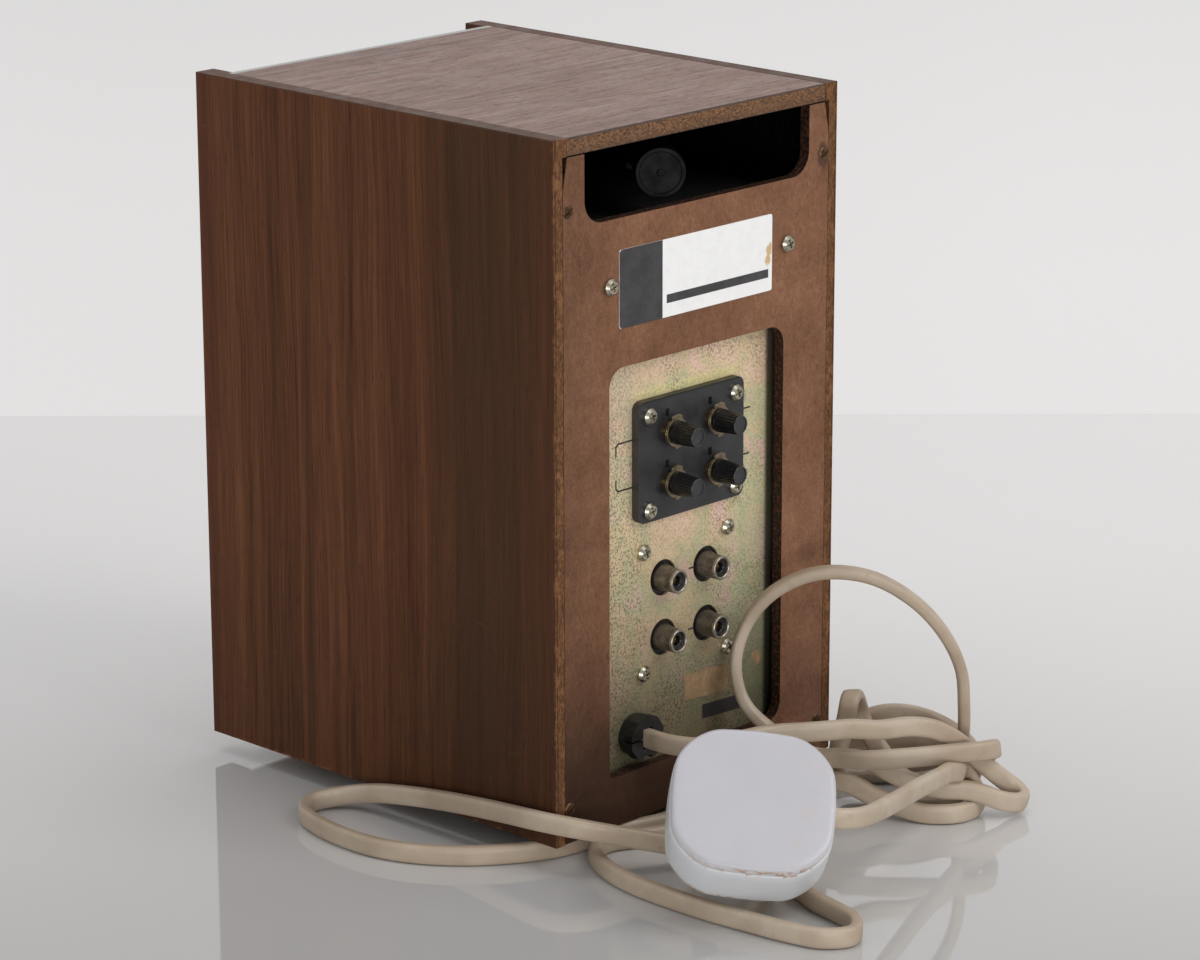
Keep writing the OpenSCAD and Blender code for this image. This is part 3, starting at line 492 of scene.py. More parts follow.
def label_white():
    m = Mat("label_white", rough=0.34)
    n = m.noise(None, 300, 4, 0.7)
    c = m.ramp(n, (0.35, (237, 237, 236)), (0.6, (242, 242, 241)))
    rub = m.span(m.noise(m.stretch(1, 1, 2.2), 190, 4, 0.7), 0.56, 0.68)
    c = m.mix(m.op("MULTIPLY", rub, 0.08), c, (206, 204, 200))
    def spot(x, z, squash):
        dx = m.op("SUBTRACT", m.x, x)
        dz = m.op("MULTIPLY", m.op("SUBTRACT", m.z, z), squash)
        return m.op("SQRT", m.op("ADD", m.op("MULTIPLY", dx, dx), m.op("MULTIPLY", dz, dz)))

    d = m.op("MINIMUM", spot(-0.0341, 0.1912, 0.6), spot(-0.0333, 0.1877, 0.7))
    d = m.op("ADD", d, m.op("MULTIPLY", m.op("SUBTRACT", m.noise(None, 620, 3, 0.6), 0.5), 0.0028))
    c = m.mix(m.op("MULTIPLY", m.span(d, 0.0017, 0.0009), 0.8), c, (200, 152, 70))
    return m.use(c, normal=m.bump(n, 0.00002, 0.4))


def ochre():
    m = Mat("glue_residue", rough=0.75)
    n = m.noise(None, 330, 4, 0.7)
    c = m.ramp(n, (0.35, (132, 106, 76)), (0.55, (149, 121, 89)), (0.7, (163, 135, 103)))
    return m.use(c, normal=m.bump(n, 0.00006, 0.7))


def dial_glass():
    m = Mat("dial_clear", color=(238, 242, 242), rough=0.03, Transmission_Weight=1.0, IOR=1.49)
    return m.m


def lamp_glass():
    m = Mat("lamp_glass", color=(226, 168, 88), rough=0.22, Transmission_Weight=0.6, IOR=1.5)
    n = m.noise(None, 500, 2)
    return m.use(m.ramp(n, (0.35, (214, 150, 72)), (0.65, (236, 186, 112))))


walnut = walnut_side()
top_veneer = walnut_top()
hard = hardboard()
zinc_plate = zinc("zinc_plate")
zinc_tray = zinc("zinc_tray", True)
black = plastic("black_plastic", (17, 17, 18), 0.4, 0.16)
bay_black = plastic("bay_black", (9, 9, 9), 0.7, 0.05, (40, 36, 32))
term = plastic("terminal_plastic", (43, 42, 44), 0.42, 0.12, (88, 84, 80), top=0.149)
cap_black = plastic("cap_plastic", (16, 16, 17), 0.3, 0.12, (90, 86, 80))
cap_tip = plastic("cap_tip", (44, 44, 46), 0.38, 0.25, (96, 94, 92))
dark_ink = plastic("dark_ink", (38, 36, 36), 0.45, 0.1, (100, 96, 90))
hollow_black = plastic("antenna_black", (3, 3, 3), 0.5, 0.03, (20, 18, 17), Specular_IOR_Level=0.1)
panel_ink = plastic("label_dark", (56, 55, 57), 0.4, 0.1, (104, 102, 102))
strip_ink = plastic("strip_dark", (38, 37, 38), 0.38, 0.3, (120, 116, 108))
rubber = plastic("foot_rubber", (24, 24, 25), 0.75, 0.35, (96, 90, 84))
bright = metal("bright_screw", (196, 191, 174), 0.27, (116, 106, 80), 0.4, 420)
dull = metal("dull_screw", (108, 82, 62), 0.45, (70, 48, 34), 0.7, 500)
nickel = metal("jack_nickel", (124, 119, 115), 0.38, (70, 65, 61), 0.5, 300)
# lighter nickel for the rolled lips: partly their own tone, partly a painted highlight
lip_nickel_and_highlight = metal("jack_lip", (172, 165, 154), 0.36, (104, 94, 82), 0.45, 420)
brassy = metal("washer_brass", (150, 136, 112), 0.36, (98, 84, 64), 0.55, 420)
gold = metal("pin_brass", (190, 158, 92), 0.28, (120, 88, 46), 0.35, 260)
steel = metal("plain_steel", (150, 148, 142), 0.34, (104, 98, 88), 0.3, 260)
alu = brushed("panel_aluminium", (200, 200, 196), 0)
alu_plain = metal("vane_aluminium", (178, 176, 170), 0.38, (140, 136, 126), 0.25, 200)
pvc = lead_pvc()
plug_mat = plug_white()
paper = label_white()
resin = plastic("board_resin", (120, 84, 42), 0.4, 0.15)
cream = plastic("drive_plastic", (214, 206, 184), 0.45, 0.15, (160, 146, 120))
thread = plastic("drive_cord", (206, 190, 150), 0.8, 0.1, (150, 132, 96), 2600, 0.00008)
grey = plastic("switch_plastic", (74, 70, 66), 0.5, 0.15)
iron = plastic("transformer_iron", (58, 46, 38), 0.5, 0.25)
dial_black = plastic("dial_black", (16, 17, 19), 0.5, 0.04)
dial_white = plastic("dial_white", (226, 222, 206), 0.5, 0.05, (190, 184, 170))
red = plastic("pointer_red", (196, 52, 28), 0.35, 0.05)
ferrite = plastic("ferrite", (44, 44, 48), 0.6, 0.1)
chip = chipboard()

# ---------- mesh helpers ----------


def smooth(me, angle=35):
    me.shade_smooth()
    me.set_sharp_from_angle(angle=math.radians(angle))


def piece(name, me, mat, body="cabinet", stands_for=(), angle=35, at=None):
    o = bpy.data.objects.new(name, me)
    scene.collection.objects.link(o)
    for one in mat if isinstance(mat, (list, tuple)) else [mat]:
        me.materials.append(one)
    smooth(me, angle)
    if at is not None:
        o.matrix_world = at
    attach(o, body)
    if stands_for:
        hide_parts(*stands_for)
    return o


def bevelled(o, width, segments=2, angle=32):
    b = o.modifiers.new("bevel", "BEVEL")
    b.width = width
    b.segments = segments
    b.limit_method = "ANGLE"
    b.angle_limit = math.radians(angle)
    b.harden_normals = True
    return o


def restyle(node, mat, bevel=0.0003, segments=2, angle=32):
    """A node's own shape, cleaned into whole faces, with eased edges"""
    bm = bmesh.new()
    bm.from_mesh(nodes[node].data)
    bmesh.ops.remove_doubles(bm, verts=bm.verts, dist=3e-6)
    bmesh.ops.dissolve_limit(bm, angle_limit=math.radians(0.6), verts=bm.verts, edges=bm.edges)
    me = bpy.data.meshes.new(node + "_look")
    bm.to_mesh(me)
    bm.free()
    o = piece(node + "_look", me, mat, body_of[node], [node], angle)
    if bevel:
        bevelled(o, bevel, segments, angle)
    return o


def dress(mat, *names):
    """A node that stays as it is, with a better material"""
    for n in names:
        me = nodes[n].data
        me.materials.clear()
        me.materials.append(mat)


def mesh_of(name, verts, faces):
    me = bpy.data.meshes.new(name)
    me.from_pydata(verts, [], faces)
    me.update()
    return me


class Build:
    """Collects verts and faces (millimetres in, metres out), with a material number for each face"""

    def __init__(self):
        self.v, self.f, self.k = [], [], []

    def add(self, verts, faces, k=0):
        n = len(self.v)
        self.v += [tuple(c * MM for c in p) for p in verts]
        self.f += [tuple(i + n for i in q) for q in faces]
        self.k += [k] * len(faces)

    def loft(self, rings, k=0, cap=True, ks=None):
        """Closed rings of equal length, joined in order"""
        m = len(rings[0])
        n = len(self.v)
        for ring in rings:
            self.v += [tuple(c * MM for c in p) for p in ring]
        for i in range(len(rings) - 1):
            for j in range(m):
                a, b = n + i * m + j, n + i * m + (j + 1) % m
                self.f.append((a, b, b + m, a + m))
                self.k.append(ks[i] if ks else k)
        if cap:
            self.f.append(tuple(n + j for j in reversed(range(m))))
            self.k.append(ks[0] if ks else k)
            self.f.append(tuple(n + (len(rings) - 1) * m + j for j in range(m)))
            self.k.append(ks[-1] if ks else k)

    def prism(self, outline, y0, y1, k=0):
        """Flat outline in X and Z, from y0 to y1"""
        self.loft([[(x, y1, z) for x, z in outline], [(x, y0, z) for x, z in outline]], k)

    def turn(self, profile, cx, cz, seg=48, k=0, ks=None, shape=None, cap=True):
        """Profile of (radius, y) turned about a line along Y; shape changes the radius by angle number"""
        rings = []
        for r, y in profile:
            ring = []
            for j in range(seg):
                a = 2 * math.pi * j / seg
                q = r * (shape(j, y) if shape else 1.0)
                ring.append((cx + q * math.cos(a), y, cz + q * math.sin(a)))
            rings.append(ring)
        self.loft(rings, k, cap, ks)

    def mesh(self, name):
        me = mesh_of(name, self.v, self.f)
        me.polygons.foreach_set("material_index", self.k)
        bm = bmesh.new()
        bm.from_mesh(me)
        bmesh.ops.recalc_face_normals(bm, faces=bm.faces)
        bm.to_mesh(me)
        bm.free()
        return me


def rounded(w, h, r, n=8, cx=0.0, cz=0.0, bow=0.0):
    """Outline of a rectangle with round corners, its sides bowed outwards a little"""
    pts = []
    for sx, sy, a0 in ((1, 1, 0), (-1, 1, 90), (-1, -1, 180), (1, -1, 270)):
        for i in range(n + 1):
            a = math.radians(a0 + 90 * i / n)
            pts.append((sx * (w / 2 - r) + r * math.cos(a), sy * (h / 2 - r) + r * math.sin(a)))
    if bow:
        full = []
        for i, p in enumerate(pts):
            q = pts[(i + 1) % len(pts)]
            full.append(p)
            d = math.hypot(q[0] - p[0], q[1] - p[1])
            if d > r * 0.5:
                for t in (0.2, 0.4, 0.6, 0.8):
                    full.append((p[0] + (q[0] - p[0]) * t, p[1] + (q[1] - p[1]) * t))
        pts = [(x * (1 + bow / (w / 2) * (1 - (2 * y / h) ** 2)), y * (1 + bow / (h / 2) * (1 - (2 * x / w) ** 2))) for x, y in full]
    return [(x + cx, y + cz) for x, y in pts]


# ---------- lead ----------

lead_pts = [(25, 85.4, 34.5), (24.5, 95, 34.5), (18, 104, 34), (5, 108, 34), (-7, 111.5, 34),
            (-16, 119, 34.3), (-24, 124.5, 34.3), (-30, 127.5, 34)]
loop_pts = [(-74.5, 139, 36.5), (-74, 138.5, 45), (-69, 136, 58), (-60, 129.5, 71.5),
            (-48.5, 118.5, 81), (-36, 106, 82.5), (-27, 94.5, 75.5), (-21.5, 87, 63.5),
            (-18, 85.5, 50), (-18, 90, 37), (-24, 100, 26.5), (-33, 110, 19.5)]
run_pts = [(-30, 121, 22), (-20.5, 108.5, 19.5), (-10.5, 98.5, 15.5), (3, 91.5, 9), (17, 88, 4),
           (31, 83, 3.4), (46, 79.8, 3.4), (60, 77, 3.4), (73.5, 70.5, 3.4), (86, 60.5, 3.4),
           (95.5, 48, 3.4), (101, 33.5, 3.4), (102, 19, 3.4), (100.5, 5.5, 3.4), (96, -7, 3.4),
           (87, -13, 3.5), (77.5, -8, 4.6), (73, 4.5, 7.4), (72.4, 20, 10.2), (72.1, 37, 12.6),
           (72, 54, 14.5), (72.2, 70, 16), (72, 83, 17), (67.5, 93.5, 16.3), (58, 102, 13.5),
           (47, 109, 10), (36, 117, 6.5), (28, 128, 4.2), (25.5, 140, 3.5), (29, 151, 3.4),
           (34, 161, 3.4), (38, 171, 3.4), (40, 181, 3.4), (43.5, 191.5, 3.4), (51.5, 197.5, 3.4),
           (59.5, 192.5, 3.4), (63, 181.5, 3.4), (65.3, 166, 3.4), (67, 150, 3.4), (67.5, 133, 3.4),
           (66.5, 116, 3.4), (62, 100, 3.4), (54, 88.5, 3.4), (44, 86.5, 3.4), (33, 92, 3.4),
           (18, 97, 3.5), (1, 99.5, 4), (-15, 102.5, 5), (-25, 106, 7.5), (-33, 110.5, 10)]
tail_pts = [(-51, 153, 19.5), (-41, 156.5, 21), (-23.5, 162, 23.4), (-5, 168.5, 25.8), (12, 174.5, 28.3),
            (23.5, 177.8, 30.2), (30.5, 177.2, 31.3), (34.2, 174.5, 31.9)]

UP = Vector((0, 0, 1))
DEEP = Vector((0.723, 0.691, 0))
SIDE = Vector((-0.691, 0.723, 0))


def hank(*turns):
    """Points of the hank: along it, towards the back of it, height, and the way the lead's wide side points"""
    return [((-0.691 * u - 0.723 * v, 0.723 * u - 0.691 * v, z), w) for u, v, z, w in turns]


fold_1 = hank((122, -63.5, 32.5, UP), (132, -61.5, 33, UP), (141, -59, 31, UP), (148, -56.5, 26.6, UP), (154, -54.5, 20.8, UP),
              (160, -52.5, 15, UP), (166, -51, 9.5, UP), (171, -52.5, 5.8, UP), (171, -57.5, 4.6, UP), (165.5, -60.8, 5.8, UP),
              (159, -62, 8.4, UP), (153, -62, 10.3, UP), (146, -61.5, 10.4, UP), (137, -60, 11.4, UP), (128, -56.5, 14, UP),
              (120, -53, 17.3, UP), (112, -52, 19.7, DEEP))
fold_2 = hank((152.3, -42, 29.5, DEEP), (152, -42, 22, DEEP), (150, -40.8, 15.5, DEEP), (144.5, -37.5, 12, DEEP), (137, -35, 10.5, UP),
              (128, -34, 11, UP), (118, -33.5, 12, UP), (110.5, -33.5, 12, DEEP), (105.5, -32.3, 9.5, DEEP), (105.3, -29.7, 5.3, DEEP),
              (110.5, -27.5, 2.8, DEEP), (121, -26, 2.6, DEEP), (133, -25.5, 2.6, DEEP), (146, -25.5, 2.7, DEEP), (153.3, -24.8, 4.6, DEEP),
              (155.5, -23.4, 8.6, DEEP), (153, -22, 12.7, DEEP), (146.5, -21, 14, UP), (139, -20.7, 14, UP), (130, -20.5, 14, UP),
              (120, -20.5, 13.5, UP), (112.5, -21.5, 14, UP), (110.5, -24.5, 18, DEEP), (115.5, -27, 22.5, DEEP), (122.5, -28, 25.2, UP),
              (130, -28.3, 26.2, UP), (138, -29, 25.2, UP), (145, -30, 22.8, UP), (152.5, -32, 19.5, DEEP), (157.5, -36, 13.5, DEEP),
              (155, -40, 7, DEEP), (148, -42, 4, DEEP), (140, -43.6, 5, DEEP), (132, -43.2, 9.5, DEEP), (126, -40.5, 14.5, UP),
              (121, -36, 20.5, SIDE), (118, -33.4, 26, SIDE), (116.5, -32.8, 31, SIDE), (115, -34.6, 35, SIDE), (113.6, -38.6, 35.2, SIDE),
              (112.8, -40.3, 31.5, SIDE), (112, -40.2, 27, SIDE), (110.5, -40.5, 21, SIDE), (109.5, -42, 14, DEEP), (112.5, -45.5, 7.5, DEEP),
              (120, -49.5, 3.4, DEEP), (130, -51.5, 2.6, DEEP), (140, -51.5, 2.6, DEEP), (149, -49, 3, DEEP), (155, -46.8, 7.5, DEEP),
              (157, -46.6, 13.5, DEEP), (159.5, -48.5, 18.5, UP), (162, -53, 22, UP), (160, -58.5, 23.6, UP), (153, -61.8, 24, UP),
              (145, -63.8, 24, UP), (136, -65, 23.5, UP), (125, -66, 23, UP), (116, -65.5, 22.5, UP))
fold_3 = hank((112, -56, 11, UP), (121, -58.5, 7, UP), (130, -62.5, 4.6, UP), (137, -65.5, 3.5, UP), (144, -66.5, 3.5, UP),
              (150, -65, 3.5, UP), (154.5, -60.8, 3.6, UP), (157, -56.5, 5, UP), (156, -53.5, 8.8, DEEP), (152.5, -54, 13.3, DEEP),
              (150.2, -58, 16.4, UP), (149, -64.8, 17.8, UP))

route = [((25, 79, 34.5), UP), ((25, 82, 34.5), UP)]
route += [(p, UP) for p in lead_pts] + fold_1
route += [(p, DEEP) for p in reversed(loop_pts)] + fold_2
route += [(p, UP) for p in run_pts] + fold_3
route += [(p, UP) for p in tail_pts] + [((36.8, 171.6, 32.5), UP)]


def spline(points, step=2.2):
    """Smooth curve through the points: points a step apart and the wide direction at each"""
    ps = [Vector(p) for p, _ in points]
    ws = [w for _, w in points]
    ps = [ps[0] * 2 - ps[1]] + ps + [ps[-1] * 2 - ps[-2]]
    line, wide = [], []
    for i in range(1, len(ps) - 2):
        p0, p1, p2, p3 = ps[i - 1:i + 3]
        t0 = 0.0
        t1 = t0 + (p1 - p0).length ** 0.5
        t2 = t1 + (p2 - p1).length ** 0.5
        t3 = t2 + (p3 - p2).length ** 0.5
        n = max(1, math.ceil((p2 - p1).length / step))
        for k in range(n):
            t = t1 + (t2 - t1) * k / n
            a1 = p0 * ((t1 - t) / (t1 - t0)) + p1 * ((t - t0) / (t1 - t0))
            a2 = p1 * ((t2 - t) / (t2 - t1)) + p2 * ((t - t1) / (t2 - t1))
            a3 = p2 * ((t3 - t) / (t3 - t2)) + p3 * ((t - t2) / (t3 - t2))
            b1 = a1 * ((t2 - t) / (t2 - t0)) + a2 * ((t - t0) / (t2 - t0))
            b2 = a2 * ((t3 - t) / (t3 - t1)) + a3 * ((t - t1) / (t3 - t1))
            line.append(b1 * ((t2 - t) / (t2 - t1)) + b2 * ((t - t1) / (t2 - t1)))
            wide.append(ws[i - 1].lerp(ws[i], k / n))
    return line + [ps[-2]], wide + [ws[-1]]


def relax(line, passes=14):
    """Evens out sharp turns without pulling the loops in"""
    for _ in range(passes):
        for k in (0.5, -0.52):
            line = [line[0]] + [p + ((a + b) / 2 - p) * k for a, p, b in zip(line, line[1:], line[2:])] + [line[-1]]
    return line


def flat_lead(name, points, mat, wide=6.6, thick=4.2, seg=28):
    line, want = spline(points)
    line = relax(line)
    n = len(line)
    along = [(line[min(i + 1, n - 1)] - line[max(i - 1, 0)]).normalized() for i in range(n)]
    wides, last = [], UP
    for t, d in zip(along, want):
        a = d - t * d.dot(t)
        if a.length < 0.2:
            a = last - t * last.dot(t)
        a.normalize()
        if a.dot(last) < 0:
            a = -a
        wides.append(a)
        last = a
    for _ in range(16):
        wides = [wides[0]] + [(a + p * 2 + c).normalized() for a, p, c in zip(wides, wides[1:], wides[2:])] + [wides[-1]]
    b = Build()
    rings = []
    for p, t, a in zip(line, along, wides):
        a = (a - t * a.dot(t)).normalized()
        c = t.cross(a)
        ring = []
        for j in range(seg):
            ang = 2 * math.pi * (j + 0.5) / seg
            ca, sa = math.cos(ang), math.sin(ang)
            q = p + a * (wide / 2 * math.copysign(abs(ca) ** 0.66, ca)) + c * (thick / 2 * math.copysign(abs(sa) ** 0.52, sa))
            ring.append(tuple(q))
        rings.append(ring)
    b.loft(rings)
    o = piece(name, b.mesh(name), mat, "cabinet", ["cord_lead", "cord_loop", "cord_run", "cord_tail", "cord_hank"], 60)
    path = [tuple(c * MM for c in p) for p in line]
    length = sum((Vector(p) - Vector(q)).length for p, q in zip(path, path[1:]))
    return o, path, length


lead, lead_path, lead_length = flat_lead("mains_lead", route, pvc)

# ---------- plug ----------

PLUG = (Matrix.Translation(Vector((57, 161, 41)) * MM) @ Matrix.Rotation(math.radians(142), 4, "Z")
        @ Matrix.Rotation(math.radians(41.5), 4, "X") @ Matrix.Rotation(math.radians(-10), 4, "Z"))


def plug_shell(name, levels, node):
    """Levels of (height, inset) from the back down, as soft square outlines in the plug's own frame"""
    b = Build()
    rings = []
    for z, inset in levels:
        w, h = 47.4 - 2 * inset, 45.4 - 2 * inset
        r = max(2.0, 12.6 - inset * 0.9)
        rings.append([(x, y, z) for x, y in rounded(w, h, r, 12, bow=2.5)])
    b.loft(rings)
    return piece(name, b.mesh(name), plug_mat, "cabinet", [node], 50, PLUG)


cover = plug_shell("plug_cover_look", [(-0.25, 14.0), (-0.05, 6.0), (0.0, 2.6), (-0.03, 1.5), (-0.15, 0.9), (-0.42, 0.42), (-0.85, 0.14), (-1.4, 0.02),
                                       (-3.1, 0.0), (-3.45, 0.1), (-3.65, 0.35), (-3.75, 1.2)], "plug_cover")
base = plug_shell("plug_base_look", [(-3.8, 1.4), (-3.95, 0.25), (-4.2, -0.05), (-4.7, -0.2), (-8.0, -0.25), (-14.0, -0.2), (-18.0, -0.1), (-20.2, 0.05),
                                     (-21.1, 0.35), (-21.65, 0.85), (-21.93, 1.6), (-22.0, 2.8)], "plug_base")
dress(gold, "plug_pins")

# ---------- cabinet ----------

restyle("right_side_panel", walnut, 0.0004)
restyle("left_side_panel", walnut, 0.0004)
restyle("top_board", top_veneer, 0.0003)
dress(chip, "bottom_board")
restyle("rear_board", hard, 0.00035)
restyle("rear_board_screws", dull, 0.0001)
restyle("feet", rubber, 0.0004)
restyle("foot_screws", bright, 0.0002)

# label: white sheet with a dark field and a dark bar
lab = Build()
lab.prism(rounded(73.6, 26, 0.8, 5, 1.4, 190), 84.5, 84.8, 0)
field = [(38.2, 177.8), (38.2, 202.2), (37.4, 203), (18, 203), (18, 177), (37.4, 177)]
lab.prism(field, 84.78, 84.83, 1)
lab.prism([(-33.6, 181.6), (16, 181.6), (16, 184.5), (-33.6, 184.5)], 84.78, 84.83, 1)
piece("label_look", lab.mesh("label_look"), [paper, panel_ink], "cabinet", ["rating_label"])

# ---------- chassis and connectors ----------

restyle("chassis_rear_plate", zinc_plate, 0.0001)
dress(zinc_tray, "chassis_tray")
restyle("machine_screws", bright, 0.00035, 3)
dress(bay_black, "antenna_shelf")
dress(steel, "antenna_pivot")
restyle("antenna_arm", hollow_black, 0.0005)
restyle("antenna_tube", hollow_black, 0.0003)
restyle("antenna_cap", hollow_black, 0.0004, 3)
dress(ferrite, "ferrite_rod")
restyle("terminal_board", term, 0.0006, 3)
dress(gold, "terminal_studs")

# plain lead lines, a patch of old glue and a bare dark strip on the connector plate


def line_strip(b, pts, w, y0, y1, k=0):
    for (x0, z0), (x1, z1) in zip(pts, pts[1:]):
        d = Vector((x1 - x0, z1 - z0))
        d.normalize()
        s = Vector((-d.y, d.x)) * (w / 2)
        e = d * (w / 2)
        b.prism([(x0 + s.x - e.x, z0 + s.y - e.y), (x1 + s.x + e.x, z1 + s.y + e.y), (x1 - s.x + e.x, z1 - s.y + e.y), (x0 - s.x - e.x, z0 - s.y - e.y)], y0, y1, k)


marks = Build()
line_strip(marks, [(25.9, 136.2), (32.3, 136.2), (33.3, 135.4), (33.3, 132)], 0.6, 78.39, 78.43)
line_strip(marks, [(33.3, 123.8), (33.3, 121), (32.3, 120.1), (25.9, 120.1)], 0.6, 78.39, 78.43)
line_strip(marks, [(-26, 136.2), (-32, 136.2)], 0.6, 78.39, 78.43)
line_strip(marks, [(-26, 120.2), (-31.6, 120.2)], 0.6, 78.39, 78.43)
line_strip(marks, [(-2.4, 86), (-4.3, 86)], 0.6, 78.39, 78.43)
line_strip(marks, [(-2.2, 64.6), (-4.3, 64.6)], 0.6, 78.39, 78.43)
piece("plate_lines", marks.mesh("plate_lines"), dark_ink, "cabinet")
glue = Build()
glue.prism([(0.4, 49), (-6, 48.4), (-13, 48.5), (-21.5, 47.7), (-22.2, 44), (-21.8, 38.6), (-12, 38.9), (-4, 39.6), (0.2, 39.9), (-0.2, 44)], 78.39, 78.45)
glue.prism([(-33.6, 48.4), (-36, 49), (-38.5, 48.6), (-38.2, 44.5), (-36.8, 43.4), (-35.4, 45.2), (-34, 46)], 78.39, 78.45)
piece("glue_patch", glue.mesh("glue_patch"), ochre(), "cabinet")
strip = Build()
strip.prism([(-9.1, 36.1), (-30.4, 35.2), (-30.4, 30), (-9.1, 31.1)], 78.39, 78.46)
piece("dark_strip", strip.mesh("dark_strip"), strip_ink, "cabinet")

# screw caps: fluted taper on a plain foot, a rim round a flat tip
posts = {1: (10.4, 137), 2: (-10.4, 137), 3: (10.4, 119.6), 4: (-10.4, 119.6)}
for i, (px, pz) in posts.items():
    b = Build()

    def flute(j, y):
        return 1.0 if y < 85.95 or y > 93.35 else (0.955 if j % 4 in (0, 1) else 1.0)

    b.turn([(1.65, 91.1), (1.65, 85.2), (1.9, 84.9), (3.85, 84.9), (4.0, 85.05), (4.0, 85.5), (3.98, 85.75), (3.96, 85.9), (3.95, 86.1),
            (3.36, 93.3), (3.31, 93.4), (3.25, 93.75), (3.1, 93.9), (2.7, 93.9), (2.6, 93.6), (0.4, 93.58)],
           px, pz, 96, ks=[0] * 10 + [0, 1, 1, 1, 1, 1], shape=flute)
    piece("post_%d_cap_look" % i, b.mesh("post_cap"), [cap_black, cap_tip], "post_%d_cap_body" % i, ["post_%d_cap" % i], 28)
    b = Build()
    for y, turn in ((83.5, 0.35), (84.1, -0.2)):
        ring = []
        for j in range(72):
            a = 2 * math.pi * j / 72
            r = 4.95
            for mid in (math.pi / 2 + turn, math.pi * 1.32 + turn):
                if abs((a - mid + math.pi) % (2 * math.pi) - math.pi) < 0.27:
                    r = 6.05
            ring.append((px + r * math.cos(a), pz + r * math.sin(a)))
        hole = [(px + 1.7 * math.cos(2 * math.pi * j / 72), pz + 1.7 * math.sin(2 * math.pi * j / 72)) for j in range(72)]
        b.loft([[(x, y, z) for x, z in hole], [(x, y, z) for x, z in ring], [(x, y + 0.5, z) for x, z in ring],
                [(x, y + 0.5, z) for x, z in hole], [(x, y, z) for x, z in hole]], cap=False)
    o = piece("post_%d_washers_look" % i, b.mesh("post_washers"), brassy, "post_%d_lift_body" % i, ["post_%d_washers" % i])
    bevelled(o, 0.00012)

# output jacks: flared sleeve with a rolled lip, black insulator and a spring contact; the lip takes a lighter nickel,
# partly its own tone and partly a painted highlight
jacks = [(10.5, 85.8), (-10.5, 85.8), (10.5, 65), (-10.5, 65)]
sleeves, cores = Build(), Build()
for jx, jz in jacks:
    sleeves.turn([(3.1, 70), (4.1, 70), (4.1, 77.2), (4.9, 77.2), (4.9, 77.6), (4.88, 78.0), (4.78, 78.5), (4.62, 79.1), (4.42, 79.8),
                  (4.24, 80.5), (4.13, 81.2), (4.08, 84.6), (4.02, 84.8), (4.02, 85.0), (4.1, 85.2), (4.1, 85.6), (4.0, 85.85), (3.8, 86),
                  (3.5, 86), (3.25, 85.85), (3.1, 85.5), (3.1, 70)], jx, jz, 56, ks=[0] * 13 + [1] * 8, cap=False)
    cores.turn([(3.1, 71), (3.1, 84.5), (2.9, 84.8), (2.0, 84.8), (1.75, 84.6), (1.6, 84.2), (1.6, 74), (0.3, 73.9)], jx, jz, 40, 0)
    cores.turn([(1.58, 74.2), (1.58, 82.6), (1.4, 82.8), (1.25, 82.6), (1.25, 74.2)], jx, jz, 28, 1, cap=False)
piece("phono_sleeves", sleeves.mesh("phono_sleeves"), [nickel, lip_nickel_and_highlight], "cabinet", ["phono_jack_shells"], 40)
piece("phono_cores", cores.mesh("phono_cores"), [cap_black, gold], "cabinet", ["phono_jack_inserts"], 40)
dress(black, "jack_board")

restyle("cord_gland", black, 0.0005, 3)

# ---------- front ----------

restyle("front_panel", alu, 0.0003)
dress(dial_glass(), "dial_lens")
dress(dial_black, "dial_scale")
dress(lamp_glass(), "lamps")
knob = Build()


def knurl(j, y):
    return 0.982 if -91.2 < y < -77.3 and j % 3 == 0 else 1.0


knob.turn([(3.0, -88.9), (3.0, -76.1), (7, -76.0), (7, -79.9), (23.5, -80), (23.5, -76.2), (25.6, -76), (26.2, -76.6), (26.4, -77.2),
           (26.4, -77.5), (26.05, -91), (26.0, -91.3), (25.7, -92.2), (25.2, -92.8), (23.2, -93.85), (22.8, -93.9), (19, -93.75), (18.8, -93.55),
           (18.6, -93.75), (0.3, -93.75)], 0, 108, 288, shape=knurl)
knob_me = knob.mesh("tuning_knob_look")
piece("tuning_knob_look", knob_me, turned("knob_aluminium", (196, 196, 192), 0.0, 0.108), "tuning", ["tuning_knob"], 30)
dimple = Build()
dimple.turn([(0.2, -93.8), (2.2, -93.82), (3.0, -93.86), (3.3, -93.9), (3.6, -93.86), (3.65, -93.7)], 0, 122.5, 40)
piece("knob_mark", dimple.mesh("knob_mark"), dial_black, "tuning")
sel = Build()


def knurl_2(j, y):
    return 0.975 if -86.6 < y < -77.4 and j % 3 == 0 else 1.0


sel.turn([(3, -60.1), (3, -76), (13.0, -76), (13.5, -76.5), (13.6, -77.2), (13.55, -77.5), (13.05, -86.5), (13, -86.8), (12.6, -87.8), (11.8, -88.4),
          (11.4, -88.5), (9.4, -88.4), (0.3, -88.4)], 30, 58, 168, shape=knurl_2)
sel_o = piece("selector_knob_look", sel.mesh("selector_knob_look"), turned("selector_aluminium", (196, 196, 192), 0.030, 0.058), "selector", ["selector_knob"], 30)
line = Build()
line.prism([(29.5, 63.5), (30.5, 63.5), (30.5, 69), (29.5, 69)], -88.52, -88.3)
piece("selector_line", line.mesh("selector_line"), dial_black, "selector")
restyle("power_lever", bright, 0.0003, 3, 40)
dots = Build()
for a in (-30, 0, 30):
    t = math.radians(a)
    dots.turn([(0.05, -75.0), (0.05, -75.04), (0.75, -75.05), (0.8, -75.0)], 30 + 18.5 * math.sin(t), 58 + 18.5 * math.cos(t), 20)
dots.turn([(0.05, -75.0), (0.05, -75.04), (0.75, -75.05), (0.8, -75.0)], -30, 70, 20)
piece("panel_dots", dots.mesh("panel_dots"), dark_ink, "cabinet")

